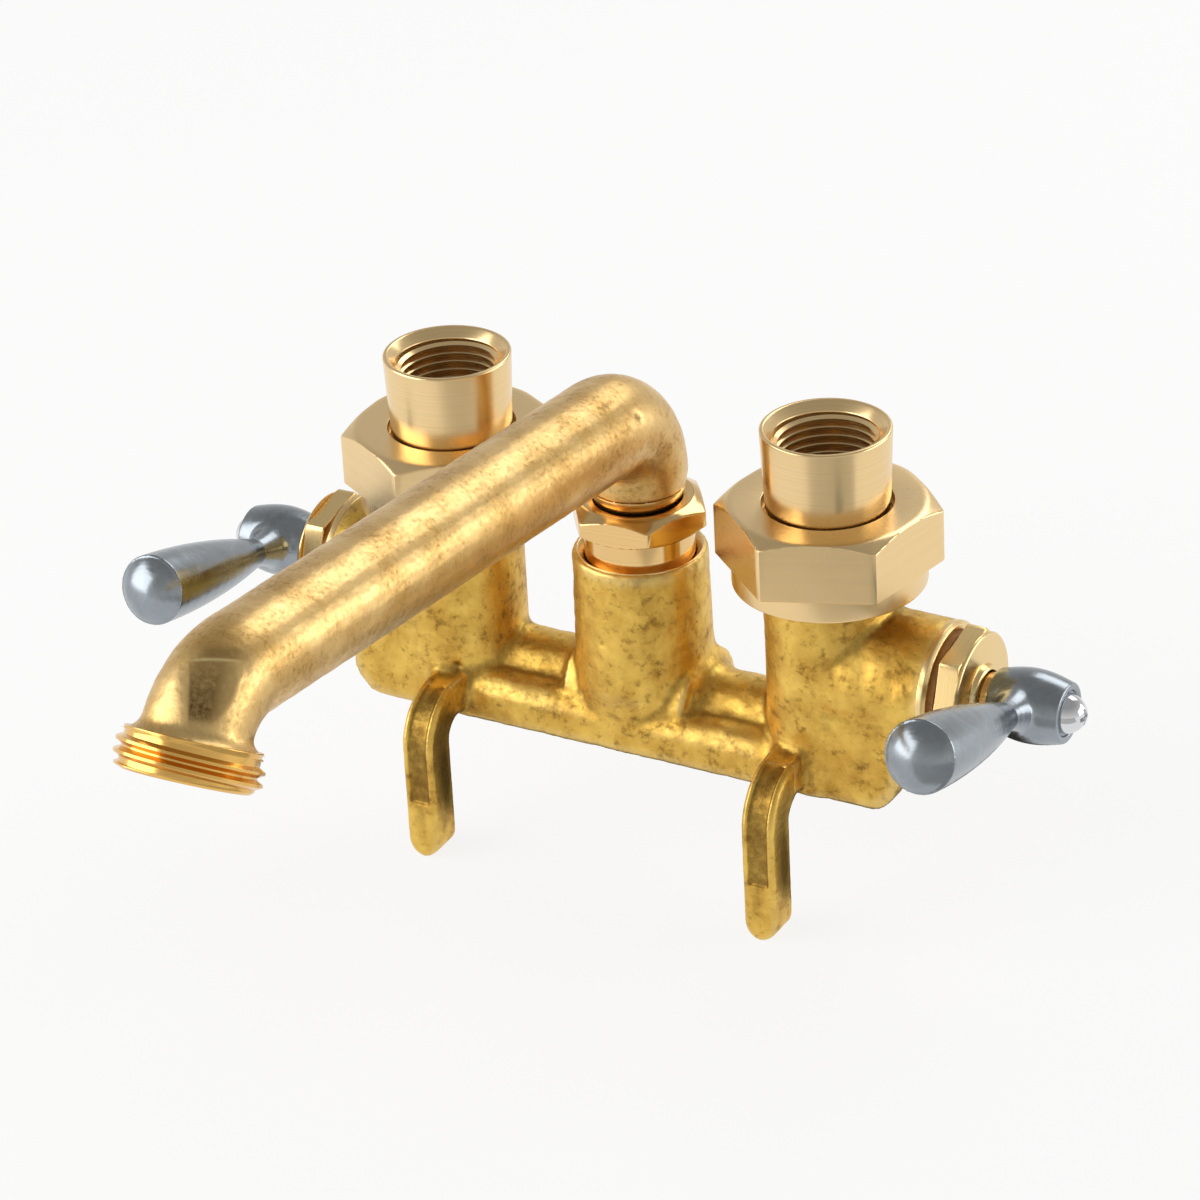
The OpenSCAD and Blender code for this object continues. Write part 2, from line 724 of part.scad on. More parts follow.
module handle_screw(side) {
    r = handle_screw_d / 2;
    shank_r = handle_screw_shank_d / 2;
    tip = broach_in + face_gap;
    color(chrome) on_stem(side) turned(concat([[0, tip], [shank_r, tip], [shank_r, screw_seat],
        [r, screw_seat]],
        [for (a = [10 : 16 : 74]) [r * cos(a), screw_seat + handle_screw_height * sin(a)]],
        [[0, screw_seat + handle_screw_height]]));
}

// Spout

// The tube of a bend that starts up its own Z and turns towards -Y
module bend(d, radius, angle) {
    translate([0, -radius, 0]) rotate([90, 0, 90])
        rotate_extrude(angle = angle) translate([radius, 0]) circle(d = d - seam);
}

// Puts children at the end of such a bend, with their Z along the tube
module after_bend(radius, angle) {
    translate([0, -radius * (1 - cos(angle)), radius * sin(angle)]) rotate([angle, 0, 0]) children();
}

// The elbow, the arm and the drop bend, and what hangs on the outlet
module spout_run(elbow_d, outlet_d) {
    translate([0, 0, elbow_start]) {
        bend(elbow_d, elbow_radius, elbow_turn);
        after_bend(elbow_radius, elbow_turn) {
            translate([0, 0, -lap]) cylinder(d1 = elbow_d, d2 = outlet_d, h = arm_length + 2 * lap);
            translate([0, 0, arm_length]) {
                bend(outlet_d, drop_radius, drop_turn);
                after_bend(drop_radius, drop_turn) children();
            }
        }
    }
}

// Male hose thread below a cast flare that grows out of the bend
module spout_outlet() {
    sink = 0.5;
    root = drop_d / 2 - sink;
    flare = hose_thread_d / 2 - root;
    flare_turn = 84;
    turned(concat([[0, -flare], [root, -flare]], arc(root + flare, -flare, flare, 90 + flare_turn, 90),
        [[root + flare, hose_thread_length - hose_lead], [root + flare - hose_lead, hose_thread_length],
        [0, hose_thread_length]]));
}

// Puts children where the flat panel lies on the drop bend, with their Y out of the tube
module on_panel() {
    translate([0, 0, elbow_start]) after_bend(elbow_radius, elbow_turn) translate([0, 0, arm_length])
        after_bend(drop_radius, panel_angle) rotate(-panel_turn) translate([0, drop_d / 2, 0]) children();
}

module spout() {
    r = journal_d / 2;
    neck_start = spout_nut_top + 0.6;
    color(rough_brass) difference() {
        union() {
            turned(concat([[0, journal_bottom], [r, journal_bottom]],
                groove(r, journal_bore_d / 2, o_ring_middle),
                [[r, ring_bottom], [ring_groove_d / 2, ring_bottom], [ring_groove_d / 2, ring_top],
                [r, ring_top], [r, neck_start], [neck_d / 2, neck_start + 0.6],
                [spout_d / 2, elbow_start - lap], [spout_d / 2, elbow_start + lap], [0, elbow_start + lap]]));
            spout_run(spout_d, drop_d) spout_outlet();
        }
        on_panel() translate([-panel_width / 2, -panel_depth, -panel_length / 2])
            cube([panel_width, panel_depth + past, panel_length]);
        round_bar(spout_bore_d, journal_bottom - past, elbow_start + lap);
        spout_run(spout_bore_d, spout_bore_d) {
            round_bar(spout_bore_d, -lap, hose_thread_length + past);
            round_bar(hose_seat_d, hose_thread_length - hose_seat_depth, hose_thread_length + past);
        }
    }
}

module spout_nut() {
    bore_r = journal_bore_d / 2;
    bevel_bottom = spout_nut_top - nut_bevel;
    color(polished_brass) rotate(spout_nut_turn) difference() {
        union() {
            round_bar(nut_shank_d, shank_bottom, spout_nut_bottom + past);
            turned_hex(spout_nut_af, spout_nut_face_d, spout_nut_bottom, spout_nut_top, true);
        }
        round_bar(2 * bore_r, shank_bottom - past, spout_nut_top + past);
        turned([[0, bevel_bottom], [bore_r, bevel_bottom],
            [bore_r + nut_bevel + past, spout_nut_top + past], [0, spout_nut_top + past]]);
    }
}

module spout_retaining_ring() {
    split = 1.2;
    color(polished_brass) difference() {
        ring(ring_d, ring_groove_d + 2 * thread_gap, ring_bottom, ring_top);
        translate([0, -split / 2, ring_bottom - past]) cube([ring_d, split, ring_thickness + 2 * past]);
    }
}

module spout_o_ring() {
    color(rubber) o_ring(journal_bore_d / 2, o_ring_middle);
}

module spout_friction_washer() {
    color(nylon) ring(ring_d, journal_bore_d, post_shoulder, friction_top);
}

body_casting();
union_nut(left);  // left_union_nut
union_nut(right);  // right_union_nut
union_washer_ring(left);  // left_union_washer
union_washer_ring(right);  // right_union_washer
tailpiece(left);  // left_tailpiece
tailpiece(right);  // right_tailpiece
seat(left);  // left_seat
seat(right);  // right_seat
bonnet(left);  // left_bonnet
bonnet(right);  // right_bonnet
bonnet_gasket_ring(left);  // left_bonnet_gasket
bonnet_gasket_ring(right);  // right_bonnet_gasket
stem(left);  // left_stem
stem(right);  // right_stem
stem_o_ring(left);  // left_stem_o_ring
stem_o_ring(right);  // right_stem_o_ring
seat_washer_disc(left);  // left_seat_washer
seat_washer_disc(right);  // right_seat_washer
washer_screw(left);  // left_washer_screw
washer_screw(right);  // right_washer_screw
handle(left);  // left_handle
handle(right);  // right_handle
handle_screw(left);  // left_handle_screw
handle_screw(right);  // right_handle_screw
spout();
spout_nut();
spout_retaining_ring();
spout_o_ring();
spout_friction_washer();
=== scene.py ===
import math

import bmesh
import bpy
import numpy as np
from bpy.props import FloatProperty, FloatVectorProperty, IntProperty, PointerProperty
from mathutils import Matrix, Vector, noise
from mathutils.bvhtree import BVHTree


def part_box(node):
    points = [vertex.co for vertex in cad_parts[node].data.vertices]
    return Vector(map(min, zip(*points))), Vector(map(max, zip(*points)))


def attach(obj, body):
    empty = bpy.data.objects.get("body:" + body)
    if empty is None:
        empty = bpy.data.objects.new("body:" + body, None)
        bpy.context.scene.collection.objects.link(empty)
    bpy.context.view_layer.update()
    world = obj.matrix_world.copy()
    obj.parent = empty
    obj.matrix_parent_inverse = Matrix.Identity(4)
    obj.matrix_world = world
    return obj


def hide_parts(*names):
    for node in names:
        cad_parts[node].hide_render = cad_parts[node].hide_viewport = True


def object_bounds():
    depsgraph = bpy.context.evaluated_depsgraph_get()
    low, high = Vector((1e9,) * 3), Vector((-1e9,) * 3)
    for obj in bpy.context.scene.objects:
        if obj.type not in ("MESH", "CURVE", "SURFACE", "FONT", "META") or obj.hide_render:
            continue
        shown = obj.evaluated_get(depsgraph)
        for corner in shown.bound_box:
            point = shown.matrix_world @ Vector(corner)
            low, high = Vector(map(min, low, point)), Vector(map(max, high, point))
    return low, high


bl_info = {
    "name": "Tub faucet finish",
    "version": (1, 0, 0),
    "blender": (4, 5, 0),
    "location": "View3D > Sidebar > Faucet",
    "description": "Makes the cast, turned and polished pieces of a tub faucet round its packed solids",
    "category": "Object",
}

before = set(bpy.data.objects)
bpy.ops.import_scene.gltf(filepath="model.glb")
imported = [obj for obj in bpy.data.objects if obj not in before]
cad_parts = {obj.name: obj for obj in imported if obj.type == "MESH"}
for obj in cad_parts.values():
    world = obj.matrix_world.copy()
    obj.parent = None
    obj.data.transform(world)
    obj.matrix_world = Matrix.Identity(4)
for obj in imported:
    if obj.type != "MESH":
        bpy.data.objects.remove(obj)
CAD_BOX = [list(corner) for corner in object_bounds()]
MM = 0.001
SIDES = {"left": -1, "right": 1}
# Pits and stains of the castings: place, radius and depth in millimetres, and how brown they are
BODY_PITS = [((-37.8, -12.2, 11.8), 0.9, 1.0, 1.2), ((-2.2, -13.8, 25.9), 0.8, 0.3, 1.2)]
SPOUT_PITS = [((5.4, -19.5, 83.0), 0.7, 0.4, 1.2), ((9.2, -14.0, 79.2), 0.8, 0.5, 1.2)]
# The legs lie this far from the middle; their colour is darkened by painted shade in the recesses and on a
# step, and made darker at the bend, down one side and all over
LEG_X = 39.25
LEG_DARKENING = [
    stain_and_shade for x in (-LEG_X, LEG_X) for stain_and_shade in (
        ((x, -27.6, -12.2), (3.2, 2, 1.3), 0, 1.2), ((x - 0.6, -27.4, -5), (1.9, 2.2, 7), 0, 0.7),
        ((x + 1.6, -20.5, 9.7), (2, 3.4, 2.6), 0, 1.2), ((x + 0.2, -25, 5.6), (2, 2.6, 3.2), 0, 1.1),
        ((x + 3.5, -23, -9), (1, 1.4, 6), 0, 0.9), ((x, -24, -6), (9, 9, 18), 0, 0.8),
    )
]
# Where a leg's tip starts to narrow, over what length, and by how much
TIP_START, TIP_LENGTH, TIP_NARROW = -21.8, 3.8, 0.8
# The legs are rounded in finer cells than the body, and the two skins overlap between these places in Y
BODY_FRONT, LEG_BACK = -18.6, -17.4
# A hollow this deep counts as full for staining, and the most that a hollow counts
FULL_HOLLOW, HOLLOW_LIMIT = 0.35, 0.7
# Lumps in a metre of casting skin, large and small
LUMPS, SMALL_LUMPS = 260, 1000
# Flat panel cast on the spout's drop bend: its middle, outward side, long side and half width and length
PANEL_MIDDLE = Vector((4.96, -158.37, 90.28))
PANEL_OUT = Vector((0.53, -0.479, 0.7))
PANEL_ALONG = Vector((0, -0.825, -0.565))
PANEL_HALF = (3.2, 5.5)
# The painted shade in the panel hangs a little askew: its downward side, half width and half height
PANEL_SHADE_DOWN = Vector((0.323, -0.649, -0.689))
PANEL_SHADE_HALF = (4.0, 5.6)
# A thread's foot sinks this far into the wall that it stands on
SUNK = 0.04
# Noise mostly lies in this range
MID = {"From Min": 0.3, "From Max": 0.7}


def middle(node):
    """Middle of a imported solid's box, in metres."""
    low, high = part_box(node)
    return (low + high) / 2


def heights(node):
    """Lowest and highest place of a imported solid, in millimetres."""
    return [corner.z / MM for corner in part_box(node)]


INLET = middle("right_tailpiece").x
STEM_HEIGHT = middle("right_bonnet").z


def linear(code):
    """An sRGB hex colour as linear red, green and blue."""
    parts = [int(code[i:i + 2], 16) / 255 for i in (1, 3, 5)]
    return [p / 12.92 if p <= 0.04045 else ((p + 0.055) / 1.055) ** 2.4 for p in parts]


def colour(code, name, description):
    return FloatVectorProperty(
        name=name, description=description, default=linear(code), subtype="COLOR", min=0, max=1
    )


def length(mm, name, description):
    return FloatProperty(name=name, description=description, default=mm * MM, unit="LENGTH", precision=5)


def angle(degrees, name, description):
    return FloatProperty(name=name, description=description, default=math.radians(degrees), subtype="ANGLE")


class FaucetSizes(bpy.types.PropertyGroup):
    """Sizes of what is added to the solids."""

    cast_grid: length(0.65, "Body grid", "Size of the cells in which the body casting is rounded")
    leg_grid: length(0.32, "Leg grid", "Size of the cells in which the hooked legs are rounded")
    spout_grid: length(0.55, "Spout grid", "Size of the cells in which the spout is rounded")
    lever_grid: length(0.26, "Lever grid", "Size of the cells in which the levers are rounded")
    cast_lumps: length(0.16, "Casting lumps", "Height of the uneven skin that the sand leaves")
    spout_lumps: length(0.07, "Spout lumps", "Height of the uneven skin on the tumbled spout")
    edge: length(0.25, "Machined edge", "Radius left on the turned and milled edges")
    hose_pitch: length(2.2, "Hose pitch", "Distance between the crests of the hose thread")
    hose_depth: length(1.25, "Hose depth", "Height of the hose thread from root to crest")
    pipe_pitch: length(1.81, "Pipe pitch", "Distance between the crests of the pipe thread")
    pipe_depth: length(0.8, "Pipe depth", "Height of the pipe thread from root to crest")
    around: IntProperty(
        name="Steps around", description="Faces round each turned piece", default=192, min=48, max=480
    )


class FaucetColours(bpy.types.PropertyGroup):
    """Colours of the finishes."""

    cast: colour("#EBC462", "Cast brass", "Yellow of the clean casting skin")
    cast_shade: colour("#C1943F", "Cast shade", "Darker yellow of the mottled skin")
    # The stain colour also paints shade on the spout's panel and on the legs; the bright colour also paints the
    # highlight on the panel's lip
    cast_stain_and_shade: colour("#66491F", "Cast stain", "Brown left in the hollows of the skin")
    cast_bright: colour("#EED99B", "Cast bright", "Pale yellow where the skin is rubbed")
    spout: colour("#E2C081", "Spout brass", "Colour of the tumbled spout")
    spout_shade: colour("#C49C58", "Spout shade", "Darker patches on the spout")
    turned: colour("#EFD09A", "Turned brass", "Colour of the turned unions")
    polished: colour("#EBC486", "Polished brass", "Colour of the spout nut and the inner brass")
    thread: colour("#E6B766", "Thread brass", "Colour of the hose outlet and its thread")
    bonnet: colour("#EECF92", "Bonnet brass", "Colour of the valve bonnets")
    zinc: colour("#9BA2A8", "Zinc", "Colour of the die-cast levers")
    chrome: colour("#D9DBDD", "Chrome", "Colour of the lever screws")
    fibre: colour("#A06C30", "Fibre", "Colour of the gaskets and union washers")
    rubber: colour("#1C1C1D", "Rubber", "Colour of the rings and seat washers")
    nylon: colour("#DAD6CB", "Nylon", "Colour of the friction washer")


class FaucetStage(bpy.types.PropertyGroup):
    """Floor, light and camera."""

    paper: colour("#FAFAF9", "Paper", "Colour of the floor")
    sky: FloatProperty(name="Room light", description="Level of the even light all round", default=0.74, min=0)
    # Neither card is seen directly: the grey one is painted shade and the dark one a painted shadow, both only
    # in the metal's reflections
    card: colour("#D8D8D8", "Card", "Grey of the card that the sleeves mirror")
    painted_shadow_card: colour("#4A463E", "Dark card", "Grey of the card under the body")
    box_light: FloatProperty(name="Soft boxes", description="Level of the soft boxes", default=1.0, min=0)
    camera_turn: angle(30.52, "Camera turn", "Camera's place round the faucet")
    camera_rise: angle(28.05, "Camera rise", "Camera's angle above level")
    camera_roll: angle(-3.09, "Camera roll", "Camera's lean about its view")
    camera_distance: length(1001, "Camera distance", "Distance from the camera to the middle of the view")
    camera_side: length(-9.145, "Camera side", "How far the view is moved to the right")
    camera_up: length(8.167, "Camera up", "How far the view is moved up")
    camera_lens: FloatProperty(
        name="Lens", description="Focal length on a 36 mm frame", default=147.45, unit="CAMERA", min=10
    )


# Small helpers


def plug(tree, node, values):
    """Links a node's inputs, where a node stands for its first output, and sets its plain values."""
    for key, value in values.items():
        if isinstance(value, bpy.types.Node):
            value = value.outputs[0]
        if isinstance(value, bpy.types.NodeSocket):
            tree.links.new(value, node.inputs[key])
        else:
            node.inputs[key].default_value = value


def add(tree, kind, values=None, **settings):
    """A node with its settings, its plain values and its links."""
    node = tree.nodes.new(kind)
    for key, value in settings.items():
        setattr(node, key, value)
    plug(tree, node, values or {})
    return node


def blank(name):
    """A new material with only its surface shader and its output."""
    material = bpy.data.materials.new(name)
    material.use_nodes = True
    tree = material.node_tree
    tree.nodes.clear()
    shader = add(tree, "ShaderNodeBsdfPrincipled")
    add(tree, "ShaderNodeOutputMaterial", {"Surface": shader})
    return material, tree, shader


def per_mm(size):
    """Texture scale that gives a pattern this many millimetres in size."""
    return 1 / (size * MM)


def opaque(value):
    return (*value, 1.0)


def colours():
    return bpy.context.scene.faucet_colours


def sizes():
    return bpy.context.scene.faucet_sizes


def placed(name, data):
    """A new object in the scene that shows a mesh, a lamp or a camera."""
    thing = bpy.data.objects.new(name, data)
    bpy.context.scene.collection.objects.link(thing)
    return thing


def applied(holder):
    """The mesh that an object's modifiers make; the object itself is removed."""
    depsgraph = bpy.context.evaluated_depsgraph_get()
    mesh = bpy.data.meshes.new_from_object(holder.evaluated_get(depsgraph))
    bpy.data.objects.remove(holder)
    return mesh


def add_piece(name, mesh, body, coat, slot, *nodes, sharp=40):
    """Links a mesh to the scene, smooths it, and makes it ride on a body in place of its solids."""
    mesh.name = name
    mesh.materials.clear()
    mesh.materials.append(finish(coat))
    mesh.polygons.foreach_set("use_smooth", [True] * len(mesh.polygons))
    mesh.set_sharp_from_angle(angle=math.radians(sharp))
    piece = placed(name, mesh)
    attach(piece, body)
    if nodes:
        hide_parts(*nodes)


def solid(parts):
    """One mesh from several, with doubles merged and faces pointing outwards."""
    bm = bmesh.new()
    for part in parts:
        bm.from_mesh(part)
    bmesh.ops.remove_doubles(bm, verts=bm.verts, dist=1e-7)
    bmesh.ops.recalc_face_normals(bm, faces=bm.faces)
    mesh = bpy.data.meshes.new("solid")
    bm.to_mesh(mesh)
    bm.free()
    return mesh


def eased(points, radius=None):
    """An open outline of radius and height with its inner corners rounded."""
    radius = sizes().edge / MM if radius is None else radius
    out = [points[0]]
    for before, here, after in zip(points, points[1:], points[2:]):
        a, p, b = (np.array(q, float) for q in (before, here, after))
        back, on = a - p, b - p
        cut = min(radius, 0.45 * np.linalg.norm(back), 0.45 * np.linalg.norm(on))
        start, end = p + back / np.linalg.norm(back) * cut, p + on / np.linalg.norm(on) * cut
        for t in (0, 0.25, 0.5, 0.75, 1):
            out.append(tuple((1 - t) ** 2 * start + 2 * t * (1 - t) * p + t * t * end))
    return out + [points[-1]]


def angles():
    count = sizes().around
    return np.arange(count) * 2 * math.pi / count


def lathe(rows, place, closed=True):
    """A turned mesh from rows of radius and height in millimetres; either may vary round the axis."""
    turn = angles()
    count = len(turn)
    rings = []
    for r, z in rows:
        r = np.broadcast_to(r, count) * MM
        z = np.broadcast_to(z, count) * MM
        rings.append(np.stack([r * np.cos(turn), r * np.sin(turn), z], axis=1))
    faces = []
    last = len(rings) if closed else len(rings) - 1
    for i in range(last):
        j = (i + 1) % len(rings)
        for k in range(count):
            n = (k + 1) % count
            faces.append((i * count + k, i * count + n, j * count + n, j * count + k))
    mesh = bpy.data.meshes.new("turned")
    mesh.from_pydata(np.concatenate(rings).tolist(), [], faces)
    mesh.transform(place)
    return solid([mesh])


def hexagon(flats, corner, first):
    """Radius of a hexagon with rounded corners, at every angle round it, in millimetres."""
    half = flats / 2
    inner = half - corner
    off = (np.degrees(angles()) - first) % 60 - 30
    u = np.radians(np.abs(off))
    flat = half / np.cos(u)
    cx, cy = inner, inner * math.tan(math.radians(30))
    along = cx * np.cos(u) + cy * np.sin(u)
    bend = along + np.sqrt(np.maximum(corner ** 2 - cx ** 2 - cy ** 2 + along ** 2, 0))
    return np.where(half * np.tan(u) > cy, bend, flat)


def hex_rows(flats, first, low, high, face_d, low_chamfer=False):
    """Rows of a hexagon from one height to another, with its corners turned off at 30 degrees."""
    edge = sizes().edge / MM
    wide = hexagon(flats, 2 * edge, first)
    slope = math.tan(math.radians(30))
    drop = max((flats / math.cos(math.radians(30)) - face_d) / 2 * slope, edge)
    soft = edge / 3
    heights = list(np.linspace(low, low + drop, 9)) + list(np.linspace(high - drop, high, 13))
    rows = []
    for z in heights:
        limit = face_d / 2 + (high - z) / slope
        if low_chamfer:
            limit = min(limit, face_d / 2 + (z - low) / slope)
        both = np.exp((face_d / 2 - wide) / soft) + np.exp((face_d / 2 - limit) / soft)
        reach = -soft * np.log(both) + face_d / 2
        ease = max(0, edge - min(z - low, high - z))
        rows.append((reach - ease ** 2 / edge, z))
    return rows


def upright(side):
    """Place of a piece on an inlet's axis."""
    return Matrix.Translation((SIDES[side] * INLET, 0, 0))


def outboard(side):
    """Place of a piece on a stem, with its Z pointing outboard."""
    turn = Matrix.Rotation(math.radians(90 * SIDES[side]), 4, "Y")
    return Matrix.Translation((SIDES[side] * INLET, 0, STEM_HEIGHT)) @ turn


def copy_of(node):
    """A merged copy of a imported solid's mesh."""
    return solid([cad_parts[node].data])


def cut_away(mesh, point, direction):
    """Cuts a mesh on a plane, drops what lies along the direction and closes the cut."""
    bm = bmesh.new()
    bm.from_mesh(mesh)
    everything = bm.verts[:] + bm.edges[:] + bm.faces[:]
    bmesh.ops.bisect_plane(
        bm, geom=everything, dist=1e-7, plane_co=point, plane_no=direction, clear_outer=True
    )
    rim = [e for e in bm.edges if len(e.link_faces) == 1]
    bmesh.ops.triangle_fill(bm, edges=rim, use_beauty=True, use_dissolve=False)
    bmesh.ops.recalc_face_normals(bm, faces=bm.faces)
    bm.to_mesh(mesh)
    bm.free()
    return mesh


def gridded(mesh, cell):
    """A mesh rebuilt in even cells on its own surface, so that it can be rounded like a casting."""
    surface = BVHTree.FromPolygons([v.co for v in mesh.vertices], [p.vertices[:] for p in mesh.polygons])
    holder = placed("grid_holder", mesh)
    remesh = holder.modifiers.new("cells", "REMESH")
    remesh.mode = "VOXEL"
    remesh.voxel_size = cell
    result = applied(holder)
    set_points(result, np.array([surface.find_nearest(p)[0] for p in points_of(result)]))
    return result


def read(items, name, width, kind=float):
    """A property of a mesh's points or edges, in rows."""
    out = np.empty(len(items) * width, kind)
    items.foreach_get(name, out)
    return out.reshape(-1, width)


def points_of(mesh):
    return read(mesh.vertices, "co", 3)


def edges_of(mesh):
    return read(mesh.edges, "vertices", 2, int)


def set_points(mesh, co):
    mesh.vertices.foreach_set("co", co.astype(np.float32).ravel())
    mesh.update()


def relaxed(co, edges, rounds, weight=1.0):
    """Points moved half way to the mean of their neighbours, over and over."""
    a, b = edges[:, 0], edges[:, 1]
    count = np.maximum(np.bincount(a, minlength=len(co)) + np.bincount(b, minlength=len(co)), 1)
    weight = np.broadcast_to(weight, len(co))[:, None]
    for _ in range(rounds):
        mean = np.stack([
            np.bincount(a, co[b, k], len(co)) + np.bincount(b, co[a, k], len(co)) for k in range(3)
        ], axis=1) / count[:, None]
        co = co + 0.5 * weight * (mean - co)
    return co


def cast_skin(mesh, rounds, fillet, keep, lumps, pits=(), loose=1.0):
    """Rounds a gridded mesh a little on its edges and more in its hollows, with an uneven skin and pits."""
    edges = edges_of(mesh)
    co = relaxed(points_of(mesh), edges, rounds, loose)
    set_points(mesh, co)
    normal = read(mesh.vertex_normals, "vector", 3, np.float32)
    rise = ((relaxed(co, edges, fillet) - co) * normal).sum(1)
    rise = relaxed(np.stack([rise] * 3, axis=1), edges, 3)[:, 0]
    bend = np.minimum(rise / (FULL_HOLLOW * MM), HOLLOW_LIMIT)
    bumps = np.array([
        noise.fractal(Vector(p) * LUMPS, 1.0, 2.0, 3) + 0.4 * noise.noise(Vector(p) * SMALL_LUMPS) for p in co
    ])
    shift = np.clip(rise, 0, None) * keep + lumps * bumps * keep
    # Pits sink the skin and darken it; the legs' marks sink nothing and only paint shade and darkening into the
    # colour
    for place, radius, depth, stain_and_shade in pits:
        hole = np.exp(-(((co / MM - np.array(place)) / np.array(radius)) ** 2).sum(1))
        shift -= depth * MM * hole
        bend += stain_and_shade * hole
    set_points(mesh, co + normal * shift[:, None])
    mark = mesh.attributes.new("bend", "FLOAT", "POINT")
    mark.data.foreach_set("value", np.clip(bend, -1, 1).astype(np.float32))
    return mesh


# Finishes


def toned(tree, tint, pattern, low, high):
    """A colour that a pattern makes darker and lighter."""
    tone = add(tree, "ShaderNodeMapRange", {**MID, "Value": pattern, "To Min": low, "To Max": high})
    values = {0: 1.0, 6: opaque(tint), 7: tone}
    return add(tree, "ShaderNodeMix", values, data_type="RGBA", blend_type="MULTIPLY").outputs[2]


def panel_shade_and_highlight(tree, place, speck):
    """How much painted shade lies on and above the panel, and how much painted highlight on its upper lip, at
    each point.
    """
    turn = Matrix((PANEL_OUT.cross(PANEL_SHADE_DOWN), -PANEL_SHADE_DOWN, PANEL_OUT)).transposed().to_euler()
    local = add(
        tree, "ShaderNodeMapping",
        {"Vector": place, "Location": PANEL_MIDDLE * MM, "Rotation": turn, "Scale": (MM, MM, MM)},
        vector_type="TEXTURE",
    )
    across, up, out = add(tree, "ShaderNodeSeparateXYZ", {"Vector": local}).outputs
    # The left and upper edges are crisp; the right one slants inwards below and fades among the specks
    slant = add(tree, "ShaderNodeMath", {0: up, 1: -0.24, 2: across}, operation="MULTIPLY_ADD")
    ragged = add(tree, "ShaderNodeMath", {0: speck, 1: 3.0, 2: slant}, operation="MULTIPLY_ADD")
    wide, high = PANEL_SHADE_HALF
    skin = ((out, -2.5, -2.0, 1.0), (out, 2.5, 2.0, 1.0))
    # Each mark is a product of ramps: what is read, where it is nothing, where it is full, and its most
    # The first mark is painted shade on the flat panel, mottled by the specks; the second is fainter painted
    # shade above the lip; the lip is a painted highlight
    marks = {
        "stain_and_shade": (
            *skin, (across, -wide - 0.25, -wide + 0.25, 1.0), (ragged, wide + 0.4, wide - 2.0, 1.0),
            (up, high + 0.2, high - 0.2, 1.0), (up, -high - 1.2, -high + 1.4, 1.0),
            (up, high + 9, -high + 3, 0.92), (speck, 0.1, 0.62, 1.0),
        ),
        "faint stain above the lip": (
            *skin, (up, high + 4.0, high + 2.2, 1.0), (up, high + 0.5, high + 0.9, 0.45),
            (across, -wide + 1, -wide + 3, 1.0), (across, wide + 2.5, wide, 1.0),
        ),
        "lip": (
            *skin, (up, high + 0.65, high + 0.4, 1.0), (up, high, high + 0.25, 1.0),
            (across, -wide, -wide + 1.5, 1.0), (across, wide + 0.6, wide - 1.5, 0.9),
        ),
    }
    shares = []
    for ramps in marks.values():
        share = 1.0
        for value, nothing, full, most in ramps:
            ramp = add(
                tree, "ShaderNodeMapRange",
                {"Value": value, "From Min": nothing, "From Max": full, "To Max": most},
            )
            share = add(tree, "ShaderNodeMath", {0: share, 1: ramp}, operation="MULTIPLY")
        shares.append(share)
    stain_and_shade, faint, lip = shares
    return add(tree, "ShaderNodeMath", {0: stain_and_shade, 1: faint}, operation="MAXIMUM"), lip


